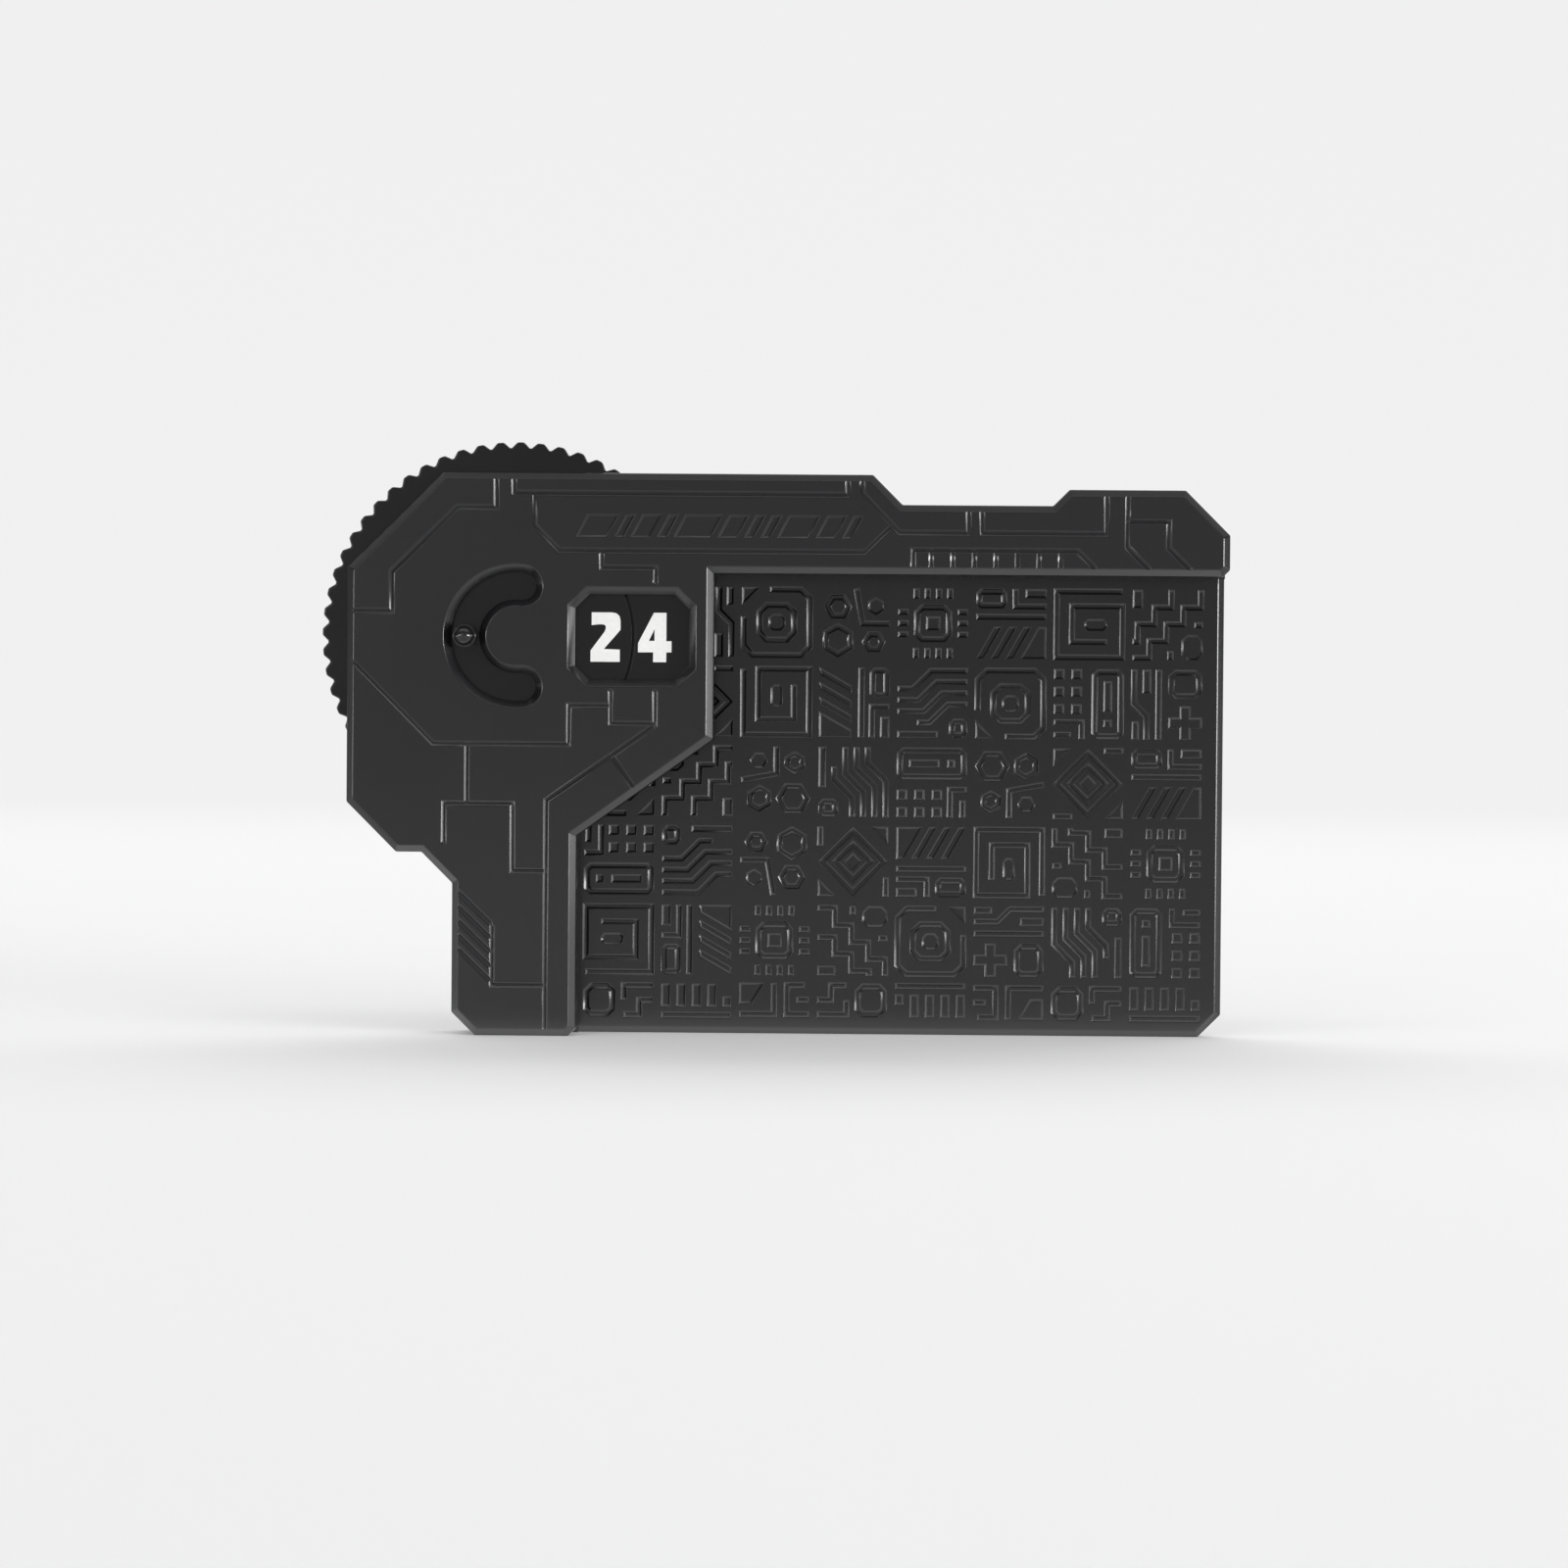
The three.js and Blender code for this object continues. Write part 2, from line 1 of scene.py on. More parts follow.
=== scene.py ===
# %% [markdown]
# # Card pad with a two digit damage counter
#
# The object is a flat black plastic pad for one playing card. A front cover in the shape of a corner
# bracket is screwed to a thin card plate, and two dials between them show a number in a window.
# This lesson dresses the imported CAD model: the cover, the plate, the dials, the peg, the feet and the
# screws are modelled again with soft edges and fine detail, and the hidden inner pieces stay as they are
# and only get a finish.

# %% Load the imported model
import json
import math

import bmesh
import bpy
from mathutils import Matrix, Vector


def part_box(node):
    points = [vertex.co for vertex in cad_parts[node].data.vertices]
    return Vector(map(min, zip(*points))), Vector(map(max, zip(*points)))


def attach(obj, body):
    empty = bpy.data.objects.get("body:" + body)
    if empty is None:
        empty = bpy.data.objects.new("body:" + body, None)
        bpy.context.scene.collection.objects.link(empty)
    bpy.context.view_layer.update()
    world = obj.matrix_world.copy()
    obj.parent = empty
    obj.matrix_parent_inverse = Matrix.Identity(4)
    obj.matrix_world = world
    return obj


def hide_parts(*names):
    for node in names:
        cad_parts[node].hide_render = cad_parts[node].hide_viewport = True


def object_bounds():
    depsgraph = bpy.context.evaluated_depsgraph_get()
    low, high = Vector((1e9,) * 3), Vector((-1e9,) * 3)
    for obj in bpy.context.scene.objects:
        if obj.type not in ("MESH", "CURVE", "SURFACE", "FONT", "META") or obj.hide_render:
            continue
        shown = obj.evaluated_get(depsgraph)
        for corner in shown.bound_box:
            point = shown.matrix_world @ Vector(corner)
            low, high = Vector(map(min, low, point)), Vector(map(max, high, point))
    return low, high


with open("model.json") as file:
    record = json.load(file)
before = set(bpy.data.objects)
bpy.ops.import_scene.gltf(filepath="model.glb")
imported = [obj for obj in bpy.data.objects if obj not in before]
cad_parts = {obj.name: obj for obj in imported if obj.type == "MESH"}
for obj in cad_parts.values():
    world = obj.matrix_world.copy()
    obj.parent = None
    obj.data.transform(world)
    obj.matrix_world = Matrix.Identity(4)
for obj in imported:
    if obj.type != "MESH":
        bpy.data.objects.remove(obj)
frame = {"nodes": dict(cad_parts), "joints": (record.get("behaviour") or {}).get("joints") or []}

cad_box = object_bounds()
bpy.ops.object.select_all(action="DESELECT")
print("CAD nodes:", sorted(frame["nodes"]))

# %% [markdown]
# ## Camera
#
# The photograph looks almost straight at the front face, from half a metre away and from the middle of
# its height. The lens, the place and the small turns come from the positions of known corners in the
# photograph, so the camera is set by numbers and not by hand.

# %% Camera
EYE = (0.006925, -0.50085, 0.0434)
TURN_LEFT = math.radians(0.63)
LOOK_DOWN = math.radians(0.87)
ROLL = 0.00776
LENS = 81.0

camera_data = bpy.data.cameras.new("photo_camera")
camera_data.lens = LENS
camera_data.sensor_width = 36.0
camera_data.clip_start = 0.01
camera = bpy.data.objects.new("photo_camera", camera_data)
bpy.context.scene.collection.objects.link(camera)
aim = Matrix.Rotation(TURN_LEFT, 3, "Z") @ Matrix.Rotation(math.pi / 2 - LOOK_DOWN, 3, "X")
camera.rotation_euler = (aim @ Matrix.Rotation(ROLL, 3, "Z")).to_euler()
camera.location = EYE
bpy.context.scene.camera = camera
bpy.context.scene.view_settings.view_transform = "Standard"
print("camera at", tuple(camera.location))

# %% [markdown]
# ## How the pieces are drawn
#
# Every new piece is drawn lying on its back in millimetres, as on a workshop drawing: x to the right,
# y up the pad, z towards the viewer, the dial axis at x = y = 0 and the front face of the cover at
# z = 0. When it is finished, it is shrunk to metres, stood up and moved to its place, and that place is
# applied to its mesh. Working in millimetres keeps small bevels exact.
#
# An outline could be typed in as mesh data. Here it is drawn as by hand: a plane is merged to one
# vertex, and that vertex is extruded from corner to corner.

# %% Helpers for selecting and drawing
MM = 0.001
AXIS_X, _, AXIS_Z = frame["joints"][0]["pos_m"]
FACE_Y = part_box("front_cover")[0].y
NEAR = 0.004         # heights closer together than this count as one
SLIVER = 0.04        # edges shorter than this go before a fine bevel ...
FACE_ZONE = 0.5      # ... where they lie less than this behind the face
LEVEL_FACE = 0.99    # least upward part of the normal of a level face
OUTLINE_BEND, RELIEF_BEND, LIP_BEND, SQUARE_BEND = 20, 25, 30, 60    # least angles of edges, in degrees


def only(piece):
    bpy.ops.object.select_all(action="DESELECT")
    piece.select_set(True)
    bpy.context.view_layer.objects.active = piece


def edit(piece):
    only(piece)
    bpy.ops.object.mode_set(mode="EDIT")


def leave_edit():
    bpy.ops.object.mode_set(mode="OBJECT")


def select_all():
    """In edit mode, selects the whole piece."""
    bpy.ops.mesh.select_all(action="SELECT")


def pick(piece, kind, test):
    """In edit mode, selects the vertices, edges or faces that pass a test."""
    bpy.ops.mesh.select_mode(type={"verts": "VERT", "edges": "EDGE", "faces": "FACE"}[kind])
    bpy.ops.mesh.select_all(action="DESELECT")
    mesh = bmesh.from_edit_mesh(piece.data)
    chosen = [item for item in getattr(mesh, kind) if test(item)]
    for item in chosen:
        item.select_set(True)
    mesh.select_flush_mode()
    bmesh.update_edit_mesh(piece.data)
    return len(chosen)


def pick_level(piece, way):
    """Selects the level faces that look up, or down where the way is -1."""
    pick(piece, "faces", lambda face: face.normal.z * way > LEVEL_FACE)


def level(edge, z):
    """True where both ends of an edge lie at height z."""
    return all(abs(vert.co.z - z) < NEAR for vert in edge.verts)


def upright(edge):
    """True where the ends of an edge lie at two heights."""
    start, end = (vert.co for vert in edge.verts)
    return abs(start.z - end.z) > NEAR


def bends(edge, degrees):
    """True where the two faces at an edge meet at more than an angle."""
    return len(edge.link_faces) == 2 and edge.calc_face_angle(0) > math.radians(degrees)


def around(radius, angle, centre=(0, 0)):
    """Point at a distance and an angle from a centre."""
    return centre[0] + radius * math.cos(angle), centre[1] + radius * math.sin(angle)


def added(name):
    """Names the piece that was just added, and applies its place and size to its mesh."""
    piece = bpy.context.object
    piece.name = name
    bpy.ops.object.transform_apply(location=True, rotation=False, scale=True)
    return piece


def own_copy(piece):
    """Copy of a piece with its own mesh."""
    twin = piece.copy()
    twin.data = piece.data.copy()
    bpy.context.scene.collection.objects.link(twin)
    return twin


def joined(pieces):
    """Joins several pieces into the first of them."""
    only(pieces[0])
    for piece in pieces:
        piece.select_set(True)
    bpy.ops.object.join()
    return pieces[0]


def resize(across, up):
    """Shrinks the selection towards the origin of the drawing."""
    bpy.ops.transform.resize(value=(across, across, up), center_override=(0, 0, 0))


def push(height):
    """Extrudes the selection straight up, or down where the height is negative."""
    bpy.ops.mesh.extrude_region_move(TRANSFORM_OT_translate={"value": (0, 0, height)})


def face_outwards():
    """Turns all faces of the piece in edit mode outwards, and leaves edit mode."""
    select_all()
    bpy.ops.mesh.normals_make_consistent(inside=False)
    leave_edit()


def trace(name, corners, z=0.0, closed=True):
    """Draws an outline or a path by extruding one vertex from corner to corner."""
    bpy.ops.mesh.primitive_plane_add(size=1, location=(*corners[0], z))
    piece = added(name)
    edit(piece)
    bpy.ops.mesh.select_mode(type="VERT")
    select_all()
    bpy.ops.mesh.merge(type="CENTER")
    for (x0, y0), (x1, y1) in zip(corners, corners[1:]):
        bpy.ops.mesh.extrude_vertices_move(TRANSFORM_OT_translate={"value": (x1 - x0, y1 - y0, 0)})
    if closed:
        select_all()
        bpy.ops.mesh.edge_face_add()
    return piece


def prism(name, corners, front, back):
    """Solid with an outline, between two depths behind the front face."""
    piece = trace(name, corners, -front)
    push(front - back)
    face_outwards()
    return piece


def inner_prism(name, corners, margin, front, back):
    """Solid with an outline drawn a margin inside the given corners, between two depths."""
    piece = trace(name, corners, -front)
    bpy.ops.mesh.select_mode(type="FACE")
    bpy.ops.mesh.inset(thickness=margin)
    bpy.ops.mesh.select_all(action="INVERT")
    bpy.ops.mesh.delete(type="FACE")
    select_all()
    push(front - back)
    face_outwards()
    return piece


def disc(name, radius, front, back, centre=(0, 0), sides=64):
    """Round solid between two depths."""
    bpy.ops.mesh.primitive_cylinder_add(vertices=sides, radius=radius, depth=back - front,
                                        location=(*centre, -(front + back) / 2))
    return added(name)


def block(name, left, right, foot, top, front, back):
    """Box between two depths."""
    middle = ((left + right) / 2, (foot + top) / 2, -(front + back) / 2)
    bpy.ops.mesh.primitive_cube_add(size=1, location=middle, scale=(right - left, top - foot, back - front))
    return added(name)


def cut(piece, tool, operation="DIFFERENCE"):
    """Cuts a tool out of a piece, or joins it on, and throws the tool away."""
    only(piece)
    change = piece.modifiers.new("cut", "BOOLEAN")
    change.operation = operation
    change.solver = "MANIFOLD"
    change.object = tool
    bpy.ops.object.modifier_apply(modifier=change.name)
    bpy.data.objects.remove(tool)


def bevel(width, segments):
    bpy.ops.mesh.bevel(offset=width, segments=segments, affect="EDGES", clamp_overlap=False)


def bevel_edges(piece, test, width, segments):
    """Bevels the edges of a piece that pass a test, and tells how many they are."""
    edit(piece)
    count = pick(piece, "edges", test)
    bevel(width, segments)
    leave_edit()
    return count


def clear_slivers(piece, face):
    """Takes out the very short edges that many cuts leave near a face, so that it bevels cleanly."""
    edit(piece)
    pick(piece, "verts", lambda vert: vert.co.z > face - FACE_ZONE)
    bpy.ops.mesh.dissolve_degenerate(threshold=SLIVER)


print("drawing origin in metres:", AXIS_X, FACE_Y, AXIS_Z)

# %% [markdown]
# ## Sizes of the pad
#
# The sizes below are in millimetres at full size, the same as in the CAD model. Depths are measured from
# the front face back.

# %% Sizes
LEFT, RIGHT, TOP, FOOT = -23.8, 100.6, 23.1, -56.4
LEG = 8.78
BODY_RIGHT, BODY_FOOT = 27.95, -30.55
BAR_TOP, BAR_FOOT, DIP = 21.2, 9.03, 18.9
SKIN, DIAL_FRONT, CARRIER_FRONT, CARD_ROOF, PLATE_FRONT, PLATE_BACK = 1.6, 1.9, 5.3, 6.1, 7.2, 9.6
CHAMBER = 27.75
OVER = 3.0       # how far a cutter reaches past what it cuts

SHARED_SIDE = [
    (54.45, DIP), (50.25, TOP), (-10.304, TOP), (LEFT, 9.604), (LEFT, -23.505), (-16.755, BODY_FOOT),
    (-13.14, BODY_FOOT), (-LEG, -34.91), (-LEG, -53.14), (-5.52, FOOT),
]
CARD_STOP = [(LEG, -28.079), (BODY_RIGHT, -14.38), (BODY_RIGHT, BAR_FOOT)]
BAR_END = [(RIGHT, 14.9), (94.3, BAR_TOP), (77.95, BAR_TOP), (75.65, DIP)]
COVER_OUTLINE = SHARED_SIDE + [(LEG - 1, FOOT), (LEG, FOOT + 1)] + CARD_STOP \
    + [(RIGHT - 1, BAR_FOOT), (RIGHT, BAR_FOOT + 1)] + BAR_END
COVER_CORNERS = SHARED_SIDE + [(LEG, FOOT)] + CARD_STOP + [(RIGHT, BAR_FOOT)] + BAR_END
PLATE_OUTLINE = SHARED_SIDE + [(97.4, FOOT), (RIGHT, -53.2)] + BAR_END
print("cover:", RIGHT - LEFT, "by", TOP - FOOT, "mm")

# %% [markdown]
# ## Front cover: shell
#
# The cover is one injection moulding: a skin 1.6 mm thick with walls behind it. Its outer edge is cut at
# 45 degrees, and every edge of the tool leaves a small radius, which is what catches the light in thin
# lines. The outline is filled, extruded back, and bevelled twice: once for the 1 mm chamfer, and once
# more for the small radius behind it and on the standing corners. The edge between chamfer and face stays
# sharp until the face is engraved.

# %% Cover shell
CHAMFER = 1.0
EDGE_RADIUS = 0.16

cover = prism("front_cover_shell", COVER_OUTLINE, 0, PLATE_FRONT)
bevel_edges(cover, lambda edge: level(edge, 0), CHAMFER, segments=1)
count = bevel_edges(cover, lambda edge: bends(edge, OUTLINE_BEND)
                    and not level(edge, -PLATE_FRONT) and not level(edge, 0), EDGE_RADIUS, segments=3)
print("rounded edges:", count)

# %% [markdown]
# ## Front cover: window and slot
#
# The window is an eight sided hole with a flat 45 degree frame around it. The frame could be bevelled
# after the hole is cut, but a cutter with its own bevel is safer on a face with many corners. The slot
# for the peg is a C shaped track with round ends, and its edge is cut at 45 degrees, 1 mm wide.

# %% Window
WINDOW_MIDDLE = 16.436
WINDOW_HALF = (8.015, 6.0)
WINDOW_CORNER = 2.0
WINDOW_BEVEL = 1.05


def octagon(grow):
    """Outline of the window, grown on all sides by the same width."""
    wide, high = WINDOW_HALF[0] + grow, WINDOW_HALF[1] + grow
    corner = WINDOW_CORNER + grow * (2 - math.sqrt(2))
    quarter = [(wide, high - corner), (wide - corner, high)]
    signs = [(1, 1), (-1, 1), (-1, -1), (1, -1)]
    points = []
    for turn, (sx, sy) in enumerate(signs):
        pair = quarter if turn % 2 == 0 else quarter[::-1]
        points += [(WINDOW_MIDDLE + sx * x, sy * y) for x, y in pair]
    return points


frame_cutter = prism("window_frame", octagon(WINDOW_BEVEL), -OVER, WINDOW_BEVEL)
bevel_edges(frame_cutter, lambda edge: level(edge, -WINDOW_BEVEL), WINDOW_BEVEL, segments=1)
cut(cover, prism("window", octagon(0), -OVER, SKIN + OVER))
cut(cover, frame_cutter)
print("window:", [2 * half for half in WINDOW_HALF], "mm, cover faces:", len(cover.data.polygons))

# %% Slot
SLOT_RADIUS = 7.15
SLOT_HALF = 2.0
SLOT_END = math.radians(83)
SLOT_BEVEL = 1.0
ARC_STEPS, END_STEPS = 56, 16
SLOT_NEAR = 0.05


def arc(centre, radius, start, end, steps):
    """Corners along an arc around a centre, between two angles."""
    return [around(radius, start + (end - start) * step / steps, centre) for step in range(steps + 1)]


def slot_outline():
    """Outline of a C shaped track around the dial axis, with round ends."""
    last = 2 * math.pi - SLOT_END
    head = around(SLOT_RADIUS, SLOT_END)
    tail = (head[0], -head[1])
    return arc((0, 0), SLOT_RADIUS + SLOT_HALF, SLOT_END, last, ARC_STEPS) \
        + arc(tail, SLOT_HALF, last, last + math.pi, END_STEPS)[1:-1] \
        + arc((0, 0), SLOT_RADIUS - SLOT_HALF, last, SLOT_END, ARC_STEPS) \
        + arc(head, SLOT_HALF, SLOT_END + math.pi, SLOT_END + 2 * math.pi, END_STEPS)[1:-1]


def beside_slot(point):
    """Distance of a point from the middle line of the slot."""
    angle = math.atan2(point.y, point.x) % (2 * math.pi)
    angle = min(max(angle, SLOT_END), 2 * math.pi - SLOT_END)
    return (point.xy - Vector(around(SLOT_RADIUS, angle))).length


cut(cover, prism("slot", slot_outline(), -OVER, SKIN + OVER))
count = bevel_edges(cover, lambda edge: level(edge, 0) and all(
    abs(beside_slot(vert.co) - SLOT_HALF) < SLOT_NEAR for vert in edge.verts), SLOT_BEVEL, segments=1)
print("slot edges:", count)

# %% [markdown]
# ## Front cover: engraved lines
#
# Panel lines about 0.8 mm wide with sloped sides run over the whole front. They could be drawn on the face
# and pushed in, but that needs a clean grid of faces. Here each one starts as a path. The path is extruded
# into a standing wall, and a Solidify modifier gives that wall an even width, also round its corners.
# Bevels round its free ends and slope its sides, and the wall is cut out of the cover.

# %% Engraved lines
LINE_WIDTH = 0.76
DRAWN_DEPTH = 0.3       # a cutter is drawn this deep with 45 degree sides ...
DEPTH_SHARE = 0.8       # ... and then flattened to this share of it
PROUD = 0.05            # how far it stands out of the face
END_ROUND = 0.36
RUNGS, RUNG_START, RUNG_SPACE = 7, 58.5, 3.03
SLASHES, SLASH_SPACE = 5, 2.015


def wall_along(name, path, width, front, back):
    """Standing wall of even width along a path, between two depths."""
    wall = trace(name, path, -front, closed=False)
    select_all()
    bpy.ops.mesh.extrude_edges_move(TRANSFORM_OT_translate={"value": (0, 0, front - back)})
    leave_edit()
    thick = wall.modifiers.new("width", "SOLIDIFY")
    thick.thickness = width
    thick.offset = 0
    thick.use_even_offset = True
    only(wall)
    bpy.ops.object.modifier_apply(modifier=thick.name)
    edit(wall)
    face_outwards()
    return wall


def sloped(part):
    """Slopes the sides of a cutter over its whole depth, and flattens it to the real depth."""
    edit(part)
    pick(part, "edges", lambda edge: level(edge, -DRAWN_DEPTH) and bends(edge, SQUARE_BEND))
    bevel(DRAWN_DEPTH, segments=1)
    select_all()
    resize(1, DEPTH_SHARE)
    leave_edit()
    return part


def round_ends(wall, path, radius):
    """Rounds the standing edges at the two ends of a wall."""
    ends = [Vector(path[0]), Vector(path[-1])]
    bevel_edges(wall, lambda edge: upright(edge) and any(
        (edge.verts[0].co.xy - end).length < LINE_WIDTH / 2 + NEAR for end in ends), radius, segments=4)


LINES = [
    [(-2.8, 22.4), (-2.8, 18.1), (-8.2, 18.1), (-17.45, 9.05), (-17.45, 3.45), (-23.1, 3.45)],
    [(-0.3, 22.4), (-0.3, 20.15), (46.7, 20.15), (46.7, 22.3)],
    [(2.6, 20.15), (2.6, 15.65), (6.1, 12.1), (49.1, 12.1), (53, 15.95)],
    [(48.75, 22.3), (48.75, 20.4), (54, 14.9), (63.7, 14.9), (63.7, 18.1)],
    [(65.6, 18.1), (65.6, 14.9), (83.1, 14.9), (83.1, 20.4)],
    [(86.1, 20.4), (86.1, 13.05), (89.3, 9.85)],
    [(86.1, 16.7), (91.9, 16.7), (91.9, 13), (95.05, 9.85)],
    [(55.95, 9.85), (55.95, 12.45), (79.1, 12.45), (81.7, 9.85)],
    [(12.1, 12.1), (12.1, 9.7), (19.7, 9.7), (19.7, 7.35)],
    [(13.5, -7.35), (13.5, -12.2), (19.75, -12.2), (19.75, -7.35)],
    [(19.75, -12.4), (4.5, -23.1), (4.5, -55.6)],
    [(13.5, -9.7), (7.6, -9.7), (7.6, -15.2), (-11.5, -15.2), (-23.1, -3.6)],
    [(13.7, -16.7), (17, -21.4)],
    [(-6.7, -15.2), (-6.7, -23.6)],
    [(-9.9, -29.4), (-9.9, -23.6), (-0.2, -23.6), (-0.2, -33.05), (4.5, -33.05)],
    [(-3, -40.6), (-3, -49.2), (4.5, -49.2)],
]
LINES += [[(RUNG_START + RUNG_SPACE * step, y) for y in (12.45, 9.85)] for step in range(RUNGS)]
LINES += [[(-8, -35.84 - SLASH_SPACE * step), (-3, -40.7 - SLASH_SPACE * step)]
          for step in range(SLASHES)]

for path in LINES:
    line = wall_along("engraved_line", path, LINE_WIDTH, -PROUD, DRAWN_DEPTH)
    round_ends(line, path, END_ROUND)
    cut(cover, sloped(line))
print("engraved lines:", len(LINES), "cover faces:", len(cover.data.polygons))

# %% [markdown]
# A row of slanted bars is engraved between the two long lines of the bar, as a plain decoration.

# %% Engraved bars
BAR_WIDTHS = [4.4, 1.3, 2.7, 1.3, 5.2, 2.7, 1.3, 1.3, 4.4, 2.7, 1.3]
BARS_START = 8.4
BARS_SPACE = 1.02
BARS_FOOT, BARS_HEAD = 14.0, 17.2
LEAN = 1.7

left = BARS_START
for width in BAR_WIDTHS:
    corners = [(left, BARS_FOOT), (left + width, BARS_FOOT), (left + width + LEAN, BARS_HEAD),
               (left + LEAN, BARS_HEAD)]
    cut(cover, sloped(prism("engraved_bar", corners, -PROUD, DRAWN_DEPTH)))
    left += width + BARS_SPACE
print("bars end at", round(left - BARS_SPACE + LEAN, 2))

# %% [markdown]
# ## Front cover: inside
#
# The inside is hollow. The wall could come from a Solidify modifier, but the room inside has its own
# steps, so it is cut out: the outline is inset by the wall, a round chamber is cut for the dials, and
# the card's slot is cut under the right side. Bosses for the screws are then joined on. This comes after
# the front is engraved, because the engraving cuts most cleanly into a solid block.

# %% Cover inside
WALL = 1.6
BOSS = 2.2
BOSS_SIDES, HOLE_SIDES, ROUND_SIDES = 32, 24, 180
SCREW_HOLE = 1.25
HOLE_END = 0.3       # the screw holes stop this far behind the skin
COVER_SCREWS = [(-14.482, -27.353), (0, -48.4), (46.0, 13.966), (69.0, 13.966), (93.5, 13.966)]
CARRIER_SCREWS = [(-19.77, -23.813), (0, -30.95), (27.453, 14.291)]

cut(cover, inner_prism("room", COVER_CORNERS, WALL, SKIN, PLATE_FRONT + OVER))
cut(cover, disc("chamber", CHAMBER, SKIN, CARRIER_FRONT, sides=ROUND_SIDES))
for place in CARRIER_SCREWS:
    cut(cover, disc("boss", BOSS, SKIN / 2, CARRIER_FRONT, place, sides=BOSS_SIDES), "UNION")
for place in COVER_SCREWS:
    cut(cover, disc("boss", BOSS, SKIN / 2, PLATE_FRONT, place, sides=BOSS_SIDES), "UNION")
for place in CARRIER_SCREWS + COVER_SCREWS:
    cut(cover, disc("screw_hole", SCREW_HOLE, SKIN + HOLE_END, PLATE_FRONT + OVER, place, sides=HOLE_SIDES))
cut(cover, block("card_room", LEG, RIGHT + OVER, FOOT - OVER, BAR_FOOT, CARD_ROOF, PLATE_FRONT + OVER))
print("cover faces:", len(cover.data.polygons))

# %% [markdown]
# The tool that makes the engraving leaves a tiny radius where each line meets the face. The cuts leave a
# few very short edges where lines cross, and they would twist the bevel, so they are dissolved first, and
# the flat parts of the face are joined again. Then all sharp edges on the front face are selected by their
# height and their angle and bevelled once. That rounds the front edge of the chamfer too. It is the last
# step on the cover, so that no cut meets the small faces of the bevel.

# %% Fine edges
FINE_RADIUS = 0.13
FLAT = math.radians(1)

clear_slivers(cover, 0)
pick(cover, "verts", lambda vert: vert.co.z > -FACE_ZONE)
bpy.ops.mesh.dissolve_limited(angle_limit=FLAT)
count = pick(cover, "edges", lambda edge: level(edge, 0) and bends(edge, LIP_BEND))
bevel(FINE_RADIUS, segments=3)
leave_edit()
print("fine edges:", count)

# %% [markdown]
# ## Card plate
#
# The plate is a 2.4 mm sheet. Its open edges are chamfered, but under the cover its edge is square, so a
# chamfered slab and a square footprint are joined. The back has round seats for the feet and sunk holes
# for the screws.

# %% Card plate
PLATE_CHAMFER = 0.95
FEET = [(-16.4, 0), (16.18, -49.0), (93.2, 1.63), (93.2, -49.0)]
FOOT_RADIUS = 4.0
FOOT_SEAT, FOOT_PLAY = 0.4, 0.3
SCREW_SEAT, SEAT_DEPTH = 2.1, 1.2

plate = prism("card_plate_moulding", PLATE_OUTLINE, PLATE_FRONT, PLATE_BACK)
bevel_edges(plate, lambda edge: level(edge, -PLATE_FRONT), PLATE_CHAMFER, segments=1)
bevel_edges(plate, lambda edge: bends(edge, OUTLINE_BEND) and not level(edge, -PLATE_BACK),
            EDGE_RADIUS, segments=3)
cut(plate, prism("footprint", COVER_CORNERS, PLATE_FRONT, PLATE_BACK), "UNION")
for place in FEET:
    cut(plate, disc("foot_seat", FOOT_RADIUS + FOOT_PLAY, PLATE_BACK - FOOT_SEAT, PLATE_BACK + OVER,
                    place, sides=48))
for place in COVER_SCREWS:
    cut(plate, disc("screw_seat", SCREW_SEAT, PLATE_BACK - SEAT_DEPTH, PLATE_BACK + OVER, place, sides=32))
    cut(plate, disc("screw_hole", SCREW_HOLE, PLATE_FRONT - OVER, PLATE_BACK + OVER, place, sides=HOLE_SIDES))
print("plate faces:", len(plate.data.polygons))

# %% [markdown]
# ## Card plate: relief
#
# The bed is covered by a shallow pattern of fields, frames and lines with sloped sides, sunk 0.24 mm. A few
# motifs are modelled once as cutters, each in a square of 10 mm, and copied over the bed with turns. They
# are plain geometric shapes of this model's own: spirals, chips with pins, stepped lines, nested diamonds,
# hexagons, rows of pads, plus signs and slanted bars.

# %% Relief parts
CHANNEL = 0.86
RELIEF_LIP = 0.07


def channel(*path):
    """Cutter for a groove along a path."""
    return sloped(wall_along("channel", list(path), CHANNEL, -PROUD, DRAWN_DEPTH))


def pad(*corners):
    """Cutter for a sunk field with an outline."""
    return sloped(prism("pad", list(corners), -PROUD, DRAWN_DEPTH))


def ring(*corners):
    """Closed channel, drawn as its outline with a smaller outline cut out."""
    outer = prism("ring", list(corners), -PROUD, DRAWN_DEPTH)
    cut(outer, inner_prism("hole", list(corners), CHANNEL, -OVER, OVER))
    return sloped(outer)


def polygon(x, y, radius, sides, start=0.0):
    """Corners of a regular polygon, the first at a start angle in degrees."""
    return [around(radius, math.radians(start + 360 * k / sides), (x, y)) for k in range(sides)]


def rectangle(left, foot, right, top, corner=0.0):
    """Corners of a rectangle, cut off at 45 degrees where a corner width is given."""
    if corner == 0:
        return [(left, foot), (right, foot), (right, top), (left, top)]
    return [(left + corner, foot), (right - corner, foot), (right, foot + corner), (right, top - corner),
            (right - corner, top), (left + corner, top), (left, top - corner), (left, foot + corner)]


def motif(name, parts):
    """Joins the parts of one motif into a single clean solid."""
    first = parts[0]
    first.name = name
    for part in parts[1:]:
        cut(first, part, "UNION")
    return first


print("relief depth:", DRAWN_DEPTH * DEPTH_SHARE, "channel width:", CHANNEL)

